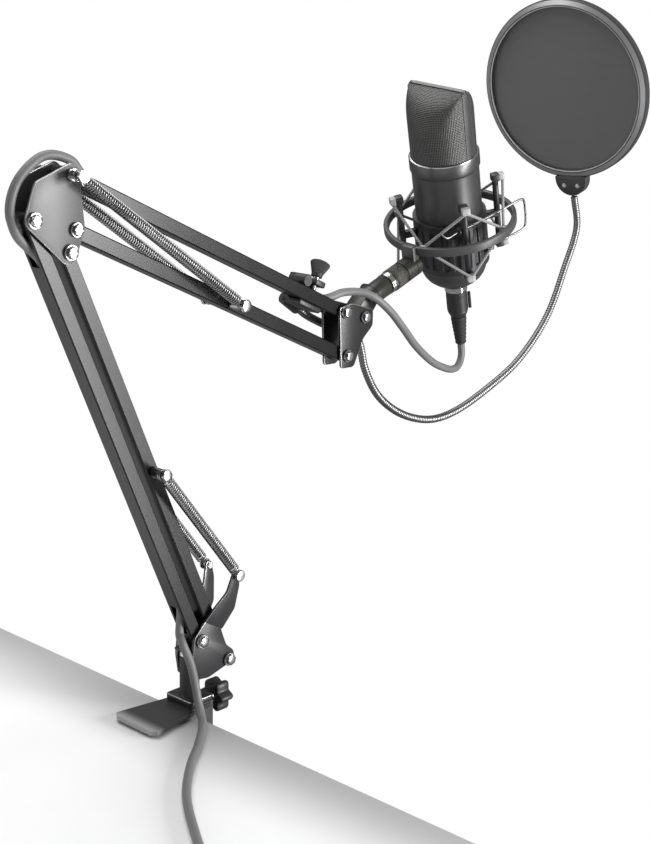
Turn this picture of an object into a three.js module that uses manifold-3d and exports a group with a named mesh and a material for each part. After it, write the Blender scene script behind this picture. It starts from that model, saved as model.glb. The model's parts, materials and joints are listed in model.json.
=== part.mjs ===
// Desk-clamp boom arm with a condenser microphone, a spider shock mount and a pop filter.
// Millimetres, +Z up. +X runs out along the boom to the microphone, -Y is the near side.
// The origin is the middle of the jaw's face on top of the desk.
import * as THREE from "three";
import Module from "manifold-3d";
import { mergeVertices } from "three/addons/utils/BufferGeometryUtils.js";

const wasm = await Module();
wasm.setup();

// ---- clearances ----
const GAP = 0.3; // between pieces that touch or seat
const RUN = 0.9; // between a bar and the plates it swings between

// ---- boom ----
const LOWER_LENGTH = 330; // pivot to pivot
const LOWER_RISE = 66.2; // degrees above the horizontal, leaning away from the microphone
const UPPER_LENGTH = 272;
const UPPER_DROP = 24.4; // degrees below the horizontal
const BAR_DEEP = 9.7; // in the plane of the boom
const BAR_WIDE = 13; // across the boom
const BAR_WALL = 1.2;
const BAR_EDGE = 0.8; // bevel
const PLATE = 2; // side plates
const BOLT_R = 2.5;
const BASE_PIVOT = [0, 52.2];
const LOWER_PAIR = [26, -21]; // rear bar to front bar
const ELBOW_STEP = [30.6, -7.7]; // rear lower pivot to the bottom upper pivot
const UPPER_PAIR = [2.7, -32.9]; // top bar to bottom bar

// ---- clamp ----
const JAW_LONG = 45;
const JAW_WIDE = 43;
const JAW_THICK = 4;
const JAW_PAD = 1.2;
const SPINE_X = 9.5; // half thickness of the spine at the socket
const SPINE_WIDE = 22;
const THROAT = 62; // largest desk
const FOOT_THICK = 9; // lower arm of the clamp
const SCREW_R = 5;
const SCREW_LONG = 74;
const SCREW_AT = -32;
const DESK = 28; // desk it is closed on
const PAD_THICK = 4;
const SCREW_LOW = -DESK - PAD_THICK - 0.3 - SCREW_LONG;
const PAD_R = 15;
const JAW_MIDDLE = 30; // desk contact to the boom's rear pivot, where the origin lies
const HANDLE_R = 2.5;
const HANDLE_LONG = 58;
const POST_X = -2.7;
const POST_R = 7;
const PIN_R = 4.8;
const SOCKET_TOP = 40;
const FLANGE = 5;
const KNOB_R = 12;
const KNOB_LONG = 12;
const KNOB_LOBES = 6;
const LOCK_Z = 2;

// ---- springs ----
const SPRING_R = 4; // outside
const SPRING_BORE = 2.4;
const SPRING_OUT = 7.1; // spring axis outside the side plates
const SPRING_Y = BAR_WIDE / 2 + RUN + PLATE + SPRING_OUT;
const LOWER_SPRING_AT = 165; // along the front lower bar
const UPPER_SPRING_AT = 146.5; // along the bottom upper bar
const HORN_TIP = [28.5, 43.1]; // from the base pivot to the spring eye
const HORN_FOLD = 8; // degrees outwards

// ---- head ----
const TILT_PIVOT = [21.2, -6.2]; // from the top head pivot
const HEAD_TILT = 20.7; // degrees above the horizontal
const STEM_RISE = 6; // stem axis above the tilt pivot, across the stem
const STEM_R = 8;
const STEM_END = 38;
const THUMB_AT = 31; // along the stem
const THUMB_R = 2;
const THREAD_R = 5.4;
const RING_NUT_R = 8.4;
const RING_NUT = 4.5;
const ADAPTER_R = 8.8;
const ADAPTER_LONG = 32;
const MOUNT_ROLL = 7.2; // degrees about the stem

// ---- shock mount ----
const RING_AT = 122.5; // tilt pivot to ring centre along the stem
const RING_LIFT = 13.7; // ring centre above the stem axis
const RING_R = 52;
const RING_THICK = 4;
const RING_HIGH = 7;
const POST_SPAN = 28.5;
const POST_TURN = 55; // degrees of the first post
const POSTS = 4;
const CORD_R = 1.1;
const BASKET_WALL = 2.4;
const BASKET_TOP = 9;
const BASKET_LOW = -34;

// ---- microphone ----
const MIC_R = 26;
const POST_OUT = 14; // basket posts outside the body
const POST_CIRCLE = MIC_R + POST_OUT;
const MIC_WALL = 2;
const MIC_BOTTOM = -37;
const MIC_RIM = 59;
const MIC_STEP = 1.1;
const CONE = 17;
const CONE_R = 13;
const GRILLE_STEP = 0.6; // grille inside the body's outer wall
const GRILLE_R = MIC_R - GRILLE_STEP;
const GRILLE_LONG = 54;
const GRILLE_WALL = 1.4;
const ROOF = 26; // degrees
const CAPSULE_R = 16;
const XLR_R = 9.2;
const XLR_LONG = 7;
const PLUG_R = 8.6;
const PLUG_LONG = 24;
const BOOT_LONG = 26;

// ---- cable ----
const CABLE_R = 3;
const CABLE_SIDES = 8;
const COIL_R = 34; // middle of the turns
const COIL_AT = [-188, -204];

// ---- pop filter ----
const FILTER_R = 77;
const FILTER_DEEP = 10;
const FILTER_RIM = 6.5;
const NECK_R = 3.2;
const FOOT_R = 15;

// ======== helpers ========
const deg = THREE.MathUtils.degToRad;

function solid(geometry) {
  const g = geometry.clone();
  g.deleteAttribute("normal");
  g.deleteAttribute("uv");
  const m = mergeVertices(g, 1e-4);
  const mesh = new wasm.Mesh({
    numProp: 3,
    vertProperties: new Float32Array(m.attributes.position.array),
    triVerts: new Uint32Array(m.index.array),
  });
  return new wasm.Manifold(mesh);
}

function surface(body) {
  const out = body.getMesh();
  const g = new THREE.BufferGeometry();
  g.setAttribute("position", new THREE.BufferAttribute(new Float32Array(out.vertProperties), 3));
  g.setIndex(new THREE.BufferAttribute(new Uint32Array(out.triVerts), 1));
  const flat = g.toNonIndexed();
  flat.computeVertexNormals();
  return flat;
}

function join(...parts) {
  return parts.map(solid).reduce((a, b) => a.add(b));
}

function cut(body, ...tools) {
  return tools.map(solid).reduce((a, b) => a.subtract(b), body);
}

function piece(name, geometry, color, roughness = 0.5, metalness = 0) {
  const mesh = new THREE.Mesh(geometry, new THREE.MeshStandardMaterial({ color, roughness, metalness }));
  mesh.name = name;
  return mesh;
}

const BLACK = 0x222224;
const SATIN = 0x555658;
const STEEL = 0xc8cacc;
const RUBBER = 0x18181a;
const GREY = 0x7a7c7e;

// A rod of any section between two points.
function rod(from, to, radius, sides = 20, endRadius = radius) {
  const a = new THREE.Vector3(...from);
  const b = new THREE.Vector3(...to);
  const g = new THREE.CylinderGeometry(endRadius, radius, a.distanceTo(b), sides);
  g.applyQuaternion(new THREE.Quaternion().setFromUnitVectors(
    new THREE.Vector3(0, 1, 0), b.clone().sub(a).normalize()));
  g.translate(...a.clone().add(b).multiplyScalar(0.5).toArray());
  return g;
}

function block(x0, x1, y0, y1, z0, z1) {
  const g = new THREE.BoxGeometry(x1 - x0, y1 - y0, z1 - z0);
  g.translate((x0 + x1) / 2, (y0 + y1) / 2, (z0 + z1) / 2);
  return g;
}

// A turned part: profile of [radius, height] pairs about Z, closed on itself or on the axis.
function turned(profile, sides = 32) {
  const g = new THREE.LatheGeometry(profile.map((p) => new THREE.Vector2(p[0], p[1])), sides);
  g.rotateX(Math.PI / 2);
  return g;
}

function ringProfile(inner, outer, low, high) {
  return [[inner, low], [outer, low], [outer, high], [inner, high], [inner, low]];
}

// A side-view outline of [x, z] points made solid between two Y values.
function slab(outline, y0, y1, bevel = 0) {
  const shape = new THREE.Shape(outline.map((p) => new THREE.Vector2(p[0], p[1])));
  const g = new THREE.ExtrudeGeometry(shape, {
    depth: y1 - y0 - 2 * bevel,
    bevelEnabled: bevel > 0,
    bevelSize: bevel,
    bevelOffset: -bevel,
    bevelThickness: bevel,
    bevelSegments: 1,
    curveSegments: 1,
  });
  g.rotateX(Math.PI / 2);
  g.translate(0, y1 - bevel, 0);
  return g;
}

// The outline of a rounded hull around discs [x, z, radius], in order.
function hull(discs, step = 30) {
  const points = [];
  for (const [x, z, r] of discs) {
    for (let a = 0; a < 360; a += step) {
      points.push([x + r * Math.cos(deg(a)), z + r * Math.sin(deg(a))]);
    }
  }
  points.sort((p, q) => p[0] - q[0] || p[1] - q[1]);
  const turn = (o, a, b) => (a[0] - o[0]) * (b[1] - o[1]) - (a[1] - o[1]) * (b[0] - o[0]);
  const half = (list) => {
    const out = [];
    for (const p of list) {
      while (out.length > 1 && turn(out[out.length - 2], out[out.length - 1], p) <= 1e-6) out.pop();
      out.push(p);
    }
    out.pop();
    return out;
  };
  return [...half(points), ...half(points.reverse())];
}

function sweep(points, radius, sides, steps) {
  const curve = new THREE.CatmullRomCurve3(points.map((p) => new THREE.Vector3(...p)), false, "centripetal");
  const section = new THREE.Shape();
  for (let i = 0; i < sides; i += 1) {
    const a = (2 * Math.PI * i) / sides;
    if (i === 0) section.moveTo(radius, 0);
    else section.lineTo(radius * Math.cos(a), radius * Math.sin(a));
  }
  return new THREE.ExtrudeGeometry(section, { steps, extrudePath: curve, bevelEnabled: false });
}

const add = (a, b) => [a[0] + b[0], a[1] + b[1]];
const along = (a, dir, t) => [a[0] + dir[0] * t, a[1] + dir[1] * t];
const side = (p, y) => [p[0], y, p[1]];
const add3 = (a, b) => a.map((v, i) => v + b[i]);

// ======== pivots, side view ========
const lowerDir = [-Math.cos(deg(LOWER_RISE)), Math.sin(deg(LOWER_RISE))];
const upperDir = [Math.cos(deg(UPPER_DROP)), -Math.sin(deg(UPPER_DROP))];
const baseRear = BASE_PIVOT;
const baseFront = add(baseRear, LOWER_PAIR);
const elbowRear = along(baseRear, lowerDir, LOWER_LENGTH);
const elbowFront = add(elbowRear, LOWER_PAIR);
const elbowLow = add(elbowRear, ELBOW_STEP);
const elbowTop = [elbowLow[0] - UPPER_PAIR[0], elbowLow[1] - UPPER_PAIR[1]];
const headTop = along(elbowTop, upperDir, UPPER_LENGTH);
const headLow = along(elbowLow, upperDir, UPPER_LENGTH);
const tiltPivot = add(headTop, TILT_PIVOT);

const PLATE_IN = BAR_WIDE / 2 + RUN; // inner face of every side plate
const PLATE_OUT = PLATE_IN + PLATE;
const HOLE_R = BOLT_R + GAP;

// ======== fasteners ========
function bolt(name, at, half, headR = 5) {
  const hex = rod(side(at, -half - 3.6), side(at, -half - 1.5), headR * 0.82, 6);
  const washer = rod(side(at, -half - 1.5), side(at, -half), headR, 14);
  const shank = rod(side(at, -half - 1), side(at, half + 1), BOLT_R, 10);
  const nutWasher = rod(side(at, half), side(at, half + 1.5), headR, 14);
  const nut = rod(side(at, half + 1.5), side(at, half + 4.4), headR * 0.82, 6);
  return piece(name, surface(join(shank, washer, hex, nutWasher, nut)), STEEL, 0.25, 1);
}

// ======== bars ========
function bar(name, from, to, color, slots = []) {
  const dir = new THREE.Vector2(to[0] - from[0], to[1] - from[1]);
  const length = dir.length();
  const r = BAR_DEEP / 2;
  const outline = hull([[0, 0, r], [length, 0, r]], 30);
  const outer = slab(outline, -BAR_WIDE / 2, BAR_WIDE / 2, BAR_EDGE);
  const hollow = block(0, length, -BAR_WIDE / 2 + BAR_WALL, BAR_WIDE / 2 - BAR_WALL,
    -r + BAR_WALL, r - BAR_WALL);
  const holes = [0, length].map((x) => rod([x, -BAR_WIDE, 0], [x, BAR_WIDE, 0], HOLE_R, 12));
  const windows = slots.map(([x0, x1, up]) =>
    block(x0, x1, -CABLE_R - 0.8, CABLE_R + 0.8, up > 0 ? 0 : -BAR_DEEP, up > 0 ? BAR_DEEP : 0));
  const g = surface(cut(join(outer), hollow, ...holes, ...windows));
  g.rotateY(-Math.atan2(dir.y, dir.x));
  g.translate(from[0], 0, from[1]);
  return piece(name, g, color, 0.45, 0.3);
}

// ======== desk clamp ========
function clampFrame() {
  const top = JAW_PAD + GAP;
  const jawOutline = [
    [-SPINE_X - JAW_LONG, -JAW_WIDE * 0.4], [-SPINE_X - JAW_LONG * 0.93, -JAW_WIDE / 2],
    [SPINE_X - 3, -JAW_WIDE * 0.28], [SPINE_X - 3, JAW_WIDE * 0.28],
    [-SPINE_X - JAW_LONG * 0.93, JAW_WIDE / 2], [-SPINE_X - JAW_LONG, JAW_WIDE * 0.4],
  ];
  const jaw = new THREE.ExtrudeGeometry(
    new THREE.Shape(jawOutline.map((p) => new THREE.Vector2(...p))),
    { depth: JAW_THICK - 1.2, bevelEnabled: true, bevelSize: 0.6, bevelOffset: -0.6,
      bevelThickness: 0.6, bevelSegments: 1 });
  jaw.translate(0, 0, top + 0.6);
  const headBlock = block(-SPINE_X, SPINE_X, -SPINE_WIDE / 2, SPINE_WIDE / 2, -20, top + JAW_THICK);
  const spine = block(-SPINE_X, -SPINE_X + FOOT_THICK, -SPINE_WIDE / 2, SPINE_WIDE / 2,
    -THROAT - FOOT_THICK, 0);
  const foot = block(SCREW_AT - 12, -SPINE_X + FOOT_THICK, -SPINE_WIDE / 2, SPINE_WIDE / 2,
    -THROAT - FOOT_THICK, -THROAT);
  const socket = rod([POST_X, 0, -14], [POST_X, 0, 20], PIN_R + GAP, 24);
  const screwHole = rod([SCREW_AT, 0, -THROAT - 20], [SCREW_AT, 0, -THROAT + 20], SCREW_R + GAP, 20);
  const lockHole = rod([POST_X, 0, LOCK_Z], [SPINE_X + 5, 0, LOCK_Z], 3 + GAP, 16);
  return piece("clamp_frame", surface(cut(join(jaw, headBlock, spine, foot), socket, screwHole, lockHole)),
    BLACK, 0.45, 0.4);
}

function jawPad() {
  return piece("jaw_pad", block(-SPINE_X - JAW_LONG * 0.9, -SPINE_X - 1, -JAW_WIDE * 0.3, JAW_WIDE * 0.3,
    0, JAW_PAD), RUBBER, 0.9);
}

function clampScrew() {
  const low = SCREW_LOW;
  const shaft = rod([SCREW_AT, 0, low], [SCREW_AT, 0, -DESK - PAD_THICK - GAP], SCREW_R, 20);
  const collar = rod([SCREW_AT, 0, low], [SCREW_AT, 0, low + 10], SCREW_R + 1.8, 20);
  const eye = rod([SCREW_AT, -20, low + 5], [SCREW_AT, 20, low + 5], HANDLE_R + GAP, 16);
  return piece("clamp_screw", surface(cut(join(shaft, collar), eye)), STEEL, 0.35, 1);
}

function clampHandle() {
  const z = SCREW_LOW + 5;
  const half = HANDLE_LONG / 2;
  const knobs = [-1, 1].map((s) => rod([SCREW_AT, s * (half - 5), z], [SCREW_AT, s * half, z], HANDLE_R + 1.5, 16));
  return piece("clamp_handle", surface(join(rod([SCREW_AT, -half, z], [SCREW_AT, half, z], HANDLE_R, 16),
    ...knobs)), STEEL, 0.35, 1);
}

function pressurePad() {
  const g = turned([[0, -PAD_THICK], [PAD_R - 2, -PAD_THICK], [PAD_R, -2.5], [PAD_R, 0], [0, 0]], 28);
  g.translate(SCREW_AT, 0, -DESK);
  return piece("pressure_pad", g, RUBBER, 0.8);
}

function socketTube() {
  const low = JAW_PAD + JAW_THICK + 2 * GAP;
  const flange = block(POST_X - 11, POST_X + 11, -13, 13, low, low + FLANGE);
  const tube = rod([POST_X, 0, low], [POST_X, 0, SOCKET_TOP], POST_R, 28);
  const bore = rod([POST_X, 0, 0], [POST_X, 0, SOCKET_TOP + 5], PIN_R + GAP, 24);
  return piece("socket_tube", surface(cut(join(flange, tube), bore)), BLACK, 0.4, 0.4);
}

function lockKnob() {
  const x0 = SPINE_X + 8;
  const outline = new THREE.Shape();
  const steps = KNOB_LOBES * 8;
  for (let i = 0; i < steps; i += 1) {
    const a = (2 * Math.PI * i) / steps;
    const r = KNOB_R * (0.86 + 0.14 * Math.cos(KNOB_LOBES * a));
    if (i === 0) outline.moveTo(r, 0);
    else outline.lineTo(r * Math.cos(a), r * Math.sin(a));
  }
  const grip = new THREE.ExtrudeGeometry(outline, { depth: KNOB_LONG - 2, bevelEnabled: true,
    bevelSize: 1, bevelOffset: -1, bevelThickness: 1, bevelSegments: 1 });
  grip.rotateY(Math.PI / 2);
  grip.translate(x0 + 1, 0, LOCK_Z);
  const screw = rod([POST_X + PIN_R + GAP, 0, LOCK_Z], [x0 + 4, 0, LOCK_Z], 3, 16);
  return piece("lock_knob", surface(join(grip, screw)), RUBBER, 0.5);
}

// ======== base bracket ========
function swivelBlock() {

  const pin = rod([POST_X, 0, -10], [POST_X, 0, SOCKET_TOP + 2], PIN_R, 24);
  const collar = rod([POST_X, 0, SOCKET_TOP + GAP], [POST_X, 0, SOCKET_TOP + 3.5], POST_R, 28);
  return piece("swivel_pin", surface(join(pin, collar)), BLACK, 0.35, 0.6);
}

function basePlate(y0, y1) {
  const [rx, rz] = baseRear;
  const [fx, fz] = baseFront;
  return slab([
    [rx + 4, rz + 13.3], [rx - 6.2, rz + 3.3], [rx - 8.1, rz - 12], [rx - 5.5, rz - 27.9],
    [rx + 6.6, rz - 29.7], [fx + 1.5, fz - 3.5], [fx + 6.1, fz - 0.2], [fx + 5, fz + 5.5],
    [fx - 2, fz + 11.4], [fx - 5.9, fz + 21.2], [rx + 14.7, rz + 17],
  ], y0, y1);
}

function horn(sign) {
  const [rx, rz] = baseRear;
  const tip = add(baseRear, HORN_TIP);
  const g = slab([
    [rx + 3, rz + 12], [rx + 17, rz + 3.4], [rx + 20, rz + 3.4], [tip[0] + 1.5, tip[1] - 26],
    [tip[0] + 3.8, tip[1] - 9], [tip[0] + 2.5, tip[1] + 3], [tip[0] - 2.5, tip[1] + 3],
    [tip[0] - 7, tip[1] - 12], [rx + 12, rz + 22],
  ], 0, PLATE);
  const fold = new THREE.Vector3(1, 0, -0.55).normalize();
  g.translate(-(rx + 10), -PLATE / 2, -(rz + 9));
  g.applyQuaternion(new THREE.Quaternion().setFromAxisAngle(fold, -sign * deg(HORN_FOLD)));
  g.translate(rx + 10, sign * (PLATE_OUT - PLATE / 2), rz + 9);
  return g;
}

function baseBracket() {
  const [rx, rz] = baseRear;
  const [fx, fz] = baseFront;
  const web = slab([[rx + 8, rz - 29.2], [fx - 6, fz - 4.9], [fx - 6, fz - 3.3], [rx + 8, rz - 27.6]],
    -PLATE_IN - 0.5, PLATE_IN + 0.5);
  const shelf = block(POST_X - POST_R, rx + 9, -PLATE_IN - 0.5, PLATE_IN + 0.5, SOCKET_TOP + 3.5 + GAP, SOCKET_TOP + 5.5);
  const tip = add(baseRear, HORN_TIP);
  const studs = [-1, 1].flatMap((s) => [
    rod(side(tip, s * (SPRING_Y - 4)), side(tip, s * (SPRING_Y + 2.5)), BOLT_R, 12),
    rod(side(tip, s * (SPRING_Y + 1.3)), side(tip, s * (SPRING_Y + 2.8)), BOLT_R + 1.6, 12),
  ]);
  const body = join(basePlate(-PLATE_OUT, -PLATE_IN), basePlate(PLATE_IN, PLATE_OUT), web, shelf,
    horn(-1), horn(1), ...studs);
  const holes = [baseRear, baseFront].map((p) => rod(side(p, -40), side(p, 40), HOLE_R, 12));
  return piece("base_bracket", surface(cut(body, ...holes)), 0x333335, 0.4, 0.5);
}


// ======== springs: the closed outline of each coil spring, with an eye at both ends ========
function springSolid(name, from, to, y) {
  const a = new THREE.Vector2(...from);
  const b = new THREE.Vector2(...to);
  const dir = b.clone().sub(a).normalize();
  const start = along(from, [dir.x, dir.y], BOLT_R + 3);
  const end = along(to, [dir.x, dir.y], -BOLT_R - 3);
  const tube = rod([start[0], y, start[1]], [end[0], y, end[1]], SPRING_R, 12);
  const bore = rod([start[0] - dir.x * 9, y, start[1] - dir.y * 9],
    [end[0] + dir.x * 9, y, end[1] + dir.y * 9], SPRING_BORE, 8);
  const eyes = [from, to].map((p) => rod([p[0], y - 1, p[1]], [p[0], y + 1, p[1]], BOLT_R + 2.2, 12));
  const necks = [[from, start], [to, end]].map(([p, q]) => {
    const s = Math.sign((q[0] - p[0]) * dir.x + (q[1] - p[1]) * dir.y);
    const inner = along(p, [dir.x, dir.y], s * (BOLT_R + 0.9));
    const outer = along(q, [dir.x, dir.y], s * 2);
    return slab(hull([[...inner, SPRING_R - 0.6], [...outer, SPRING_R - 0.6]], 90), y - 1, y + 1);
  });
  const body = join(tube).subtract(solid(bore)).add(join(...eyes, ...necks));
  const holes = [from, to].map((p) => rod([p[0], y - 9, p[1]], [p[0], y + 9, p[1]], HOLE_R, 12));
  return piece(name, surface(cut(body, ...holes)), 0x8a8c8e, 0.3, 1);
}

// A cross pin with a head outside each spring eye.
function springPin(name, at, bore) {
  const reach = SPRING_Y + 3;
  const pin = rod(side(at, -reach), side(at, reach), bore, 10);
  const heads = [-1, 1].map((s) => rod(side(at, s * (reach - 1)), side(at, s * (reach + 1.6)), bore + 2, 6));
  const collars = [-1, 1].map((s) => rod(side(at, s * (BAR_WIDE / 2 + GAP)), side(at, s * (SPRING_Y - 1.6)), bore + 1.2, 12));
  return piece(name, surface(join(pin, ...heads, ...collars)), STEEL, 0.3, 1);
}

// ======== elbow ========
const elbowOutline = [
  [elbowRear[0] - 6, elbowRear[1] + 1.5], [elbowRear[0] - 5, elbowRear[1] - 3.5],
  [elbowFront[0] - 4.5, elbowFront[1] - 6.8], [elbowFront[0] - 0.5, elbowFront[1] - 7.6],
  [elbowFront[0] + 4.3, elbowFront[1] - 5.4], [elbowLow[0] + 7.3, elbowLow[1] + 0.2],
  [elbowTop[0] + 7.4, elbowTop[1] - 9], [elbowTop[0] + 6, elbowTop[1] + 4],
  [elbowTop[0] + 1, elbowTop[1] + 7.4], [elbowRear[0] + 1.7, elbowRear[1] + 22.4],
];

function plateWith(name, outline, pivots, y0, y1, color) {
  const holes = pivots.map((p) => rod(side(p, -40), side(p, 40), HOLE_R, 12));
  return piece(name, surface(cut(join(slab(outline, y0, y1)), ...holes)), color, 0.45, 0.5);
}

function elbowSpringBolt() {
  const reach = SPRING_Y + 3;
  const shank = rod(side(elbowTop, -reach - 1), side(elbowTop, reach + 1), BOLT_R, 16);
  const heads = [-1, 1].map((s) => rod(side(elbowTop, s * reach), side(elbowTop, s * (reach + 3)), 4.3, 6));
  const lockNuts = [-1, 1].map((s) => rod(side(elbowTop, s * (PLATE_OUT + GAP)), side(elbowTop, s * (PLATE_OUT + 3)), 4.3, 6));
  return piece("elbow_spring_bolt", surface(join(shank, ...heads, ...lockNuts)), STEEL, 0.25, 1);
}

// ======== head bracket ========
const headOutline = [
  [headTop[0] - 6, headTop[1] + 3.5], [headLow[0] - 6, headLow[1] - 9],
  [headLow[0] + 8, headLow[1] - 9.5], [tiltPivot[0] - 1, tiltPivot[1] - 16.5],
  [tiltPivot[0] + 9.8, tiltPivot[1] - 7.6], [tiltPivot[0] + 9.8, tiltPivot[1] + 4.6],
  [headTop[0] + 7, headTop[1] + 5.6],
];

// Everything past the tilt pivot is drawn along the stem (X) with the pivot at the origin.
const headGroup = new THREE.Group();
headGroup.name = "head";
headGroup.position.set(tiltPivot[0], 0, tiltPivot[1]);
headGroup.rotation.y = -deg(HEAD_TILT);

function stemBlock() {
  const half = PLATE_IN - GAP;
  const knuckle = slab(hull([[0, 0, 7.4], [13, STEM_RISE, 6.8]], 30), -half, half);
  const barrel = rod([12.5, 0, STEM_RISE], [STEM_END, 0, STEM_RISE], STEM_R, 24);
  const thread = rod([STEM_END - 1, 0, STEM_RISE], [STEM_END + RING_NUT + 10, 0, STEM_RISE], THREAD_R, 20);
  const hole = rod([0, -20, 0], [0, 20, 0], HOLE_R, 12);
  const screwHole = rod([THUMB_AT, 2, STEM_RISE - 3], [THUMB_AT, 30, STEM_RISE - 3], THUMB_R + GAP, 12);
  return piece("stem_block", surface(cut(join(knuckle, barrel, thread), hole, screwHole)), BLACK, 0.4, 0.5);
}

function tiltThumbscrew() {
  const at = (y) => [THUMB_AT, y, STEM_RISE - 3];
  const shaft = rod(at(3), at(STEM_R + 5), THUMB_R, 12);
  const grip = rod(at(STEM_R + 2), at(STEM_R + 9), 5, 16);
  return piece("tilt_thumbscrew", surface(join(shaft, grip)), BLACK, 0.5, 0.1);
}

function stemRing() {
  const g = turned(ringProfile(THREAD_R + GAP, RING_NUT_R, STEM_END + GAP, STEM_END + RING_NUT), 28);
  g.rotateY(Math.PI / 2);
  g.translate(0, 0, STEM_RISE);
  return piece("stem_ring", g, STEEL, 0.15, 1);
}

// The mount turns about the stem; its own origin is the ring centre, Z the microphone's axis.
const mountGroup = new THREE.Group();
mountGroup.name = "mount";
mountGroup.position.set(RING_AT, -RING_LIFT * Math.sin(deg(MOUNT_ROLL)), STEM_RISE + RING_LIFT * Math.cos(deg(MOUNT_ROLL)));
mountGroup.rotation.x = deg(MOUNT_ROLL);

const polar = (r, a, z) => [r * Math.cos(deg(a)), r * Math.sin(deg(a)), z];
const postAngles = Array.from({ length: POSTS }, (_, i) => POST_TURN + (360 / POSTS) * i);
const anchorAngles = postAngles.map((a) => a + 180 / POSTS);

function shockRing() {
  const start = STEM_END + RING_NUT + GAP - RING_AT;
  const ring = turned(ringProfile(RING_R - RING_THICK, RING_R, -RING_HIGH / 2, RING_HIGH / 2), 40);
  const barrel = rod([start, 0, -RING_LIFT], [start + ADAPTER_LONG, 0, -RING_LIFT], ADAPTER_R, 28);
  const yoke = block(-RING_R - 3, -RING_R + RING_THICK, -6, 6, -RING_LIFT, RING_HIGH / 2 + 1);
  const bore = rod([start - 2, 0, -RING_LIFT], [start + 12, 0, -RING_LIFT], THREAD_R + GAP, 20);
  return piece("shock_ring", surface(cut(join(ring, barrel, yoke), bore)), 0x3a3b3d, 0.4, 0.3);
}

// The wire clip hooks round outside the ring; the basket's two eyes hold it near its ends.
const SLEEVE_R = MIC_R + GAP + BASKET_WALL;
const CLIP_R = 0.9;
const CLIP_EYE_R = 3.5;
const CLIP_HIGH = RING_HIGH / 2 + 4.3;
const CLIP_LOW = -17;
const clipPoints = [[-40, 7.2 - SLEEVE_R, CLIP_HIGH + 6], [-37, 3.7 - SLEEVE_R, CLIP_HIGH + 1.4],
  [-25.9, 1.8 - SLEEVE_R, CLIP_HIGH + 1.1], [-18.9, 0.6 - SLEEVE_R, CLIP_HIGH + 0.9],
  [18, -SLEEVE_R - 5.5, CLIP_HIGH], [43.4, -39.2, CLIP_HIGH], [45, -39.4, CLIP_HIGH - 3],
  [44.6, -39.4, CLIP_LOW + 2], [42.5, -39, CLIP_LOW], [8, -SLEEVE_R - 4, CLIP_LOW], [1, -SLEEVE_R - 2.7, CLIP_LOW]];
const clipHold = [[clipPoints[2], clipPoints[3]], [clipPoints[9], clipPoints[10]]];

function micBasket() {
  const bore = MIC_R + GAP;
  const sleeve = turned(ringProfile(bore, bore + BASKET_WALL, BASKET_LOW, BASKET_TOP), 32);
  const parts = [sleeve];
  for (const a of postAngles) {
    const link = block(bore + 1.2, POST_CIRCLE - 1, -2.5, 2.5, -5, 1);
    link.rotateZ(deg(a));
    parts.push(link);
    parts.push(rod(polar(POST_CIRCLE - 1, a, -POST_SPAN), polar(POST_CIRCLE - 1, a, POST_SPAN), 2.4, 10));
    for (const s of [-1, 1]) {
      const cap = block(POST_CIRCLE - 4, POST_CIRCLE + 2.2, -3.5, 3.5,
        s > 0 ? POST_SPAN - 3 : -POST_SPAN - 3, s > 0 ? POST_SPAN + 3 : -POST_SPAN + 3);
      cap.rotateZ(deg(a));
      parts.push(cap);
    }
  }
  const hole = clipHold.map(([from, to]) => rod(from, to, CLIP_R + GAP, 12));
  const eyes = clipHold.map(([from, to]) => rod(from, to, CLIP_EYE_R, 14));
  return piece("mic_basket", surface(cut(join(...parts, ...eyes), ...hole)), BLACK, 0.45, 0.1);
}

function elasticCords() {
  const hookR = POST_CIRCLE + 5.5;
  const anchorR = RING_R - RING_THICK - 2.2;
  const parts = [];
  for (const a of anchorAngles) {
    const anchor = polar(anchorR, a, 0);
    for (const s of [-1, 1]) {
      for (const t of [-1, 1]) {
        const hook = polar(hookR, a + (s * 180) / POSTS, t * (POST_SPAN - 1));
        parts.push(rod(anchor, hook, CORD_R, 5));
        if (s > 0) parts.push(new THREE.SphereGeometry(CORD_R * 1.3, 6, 4).translate(...hook));
      }
    }
    parts.push(new THREE.SphereGeometry(CORD_R * 1.4, 6, 4).translate(...anchor));
  }
  return piece("elastic_cords", surface(join(...parts)), GREY, 0.8);
}

function clipWire() {
  return piece("basket_clip", sweep(clipPoints, CLIP_R, 6, 44), STEEL, 0.3, 1);
}

// ======== microphone ========
function micBody() {
  const inner = MIC_R - MIC_WALL;
  const exit = XLR_R + GAP;
  const tip = MIC_BOTTOM - CONE;
  return piece("mic_body", turned([
    [exit, tip], [CONE_R, tip], [MIC_R * 0.75, tip + CONE * 0.27], [MIC_R * 0.93, tip + CONE * 0.62],
    [MIC_R, MIC_BOTTOM], [MIC_R, MIC_RIM - 12], [MIC_R + MIC_STEP, MIC_RIM - 10.5],
    [MIC_R + MIC_STEP, MIC_RIM], [inner, MIC_RIM], [inner, MIC_BOTTOM], [CONE_R - 1.5, tip + 3.4],
    [exit, tip + 3.4], [exit, tip],
  ], 28), 0x3c3c3e, 0.38, 0.5);
}

function micGrille() {
  const low = MIC_RIM + GAP;
  const dome = (r, top) => {
    const core = solid(rod([0, 0, low], [0, 0, top], r, 36));
    return [-1, 1].reduce((body, s) => {
      const roof = block(-200, 200, -200, 200, 0, 100);
      roof.rotateY(s * deg(ROOF));
      roof.translate(0, 0, top - 3);
      return body.subtract(solid(roof));
    }, core);
  };
  const hollow = solid(rod([0, 0, low - 5], [0, 0, low + 1], GRILLE_R - GRILLE_WALL, 36));
  const body = dome(GRILLE_R, MIC_RIM + GRILLE_LONG + 3)
    .subtract(dome(GRILLE_R - GRILLE_WALL, MIC_RIM + GRILLE_LONG + 3 - GRILLE_WALL)).subtract(hollow);
  return piece("mic_grille", surface(body), 0x2c2c2e, 0.6, 0.4);
}

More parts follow.
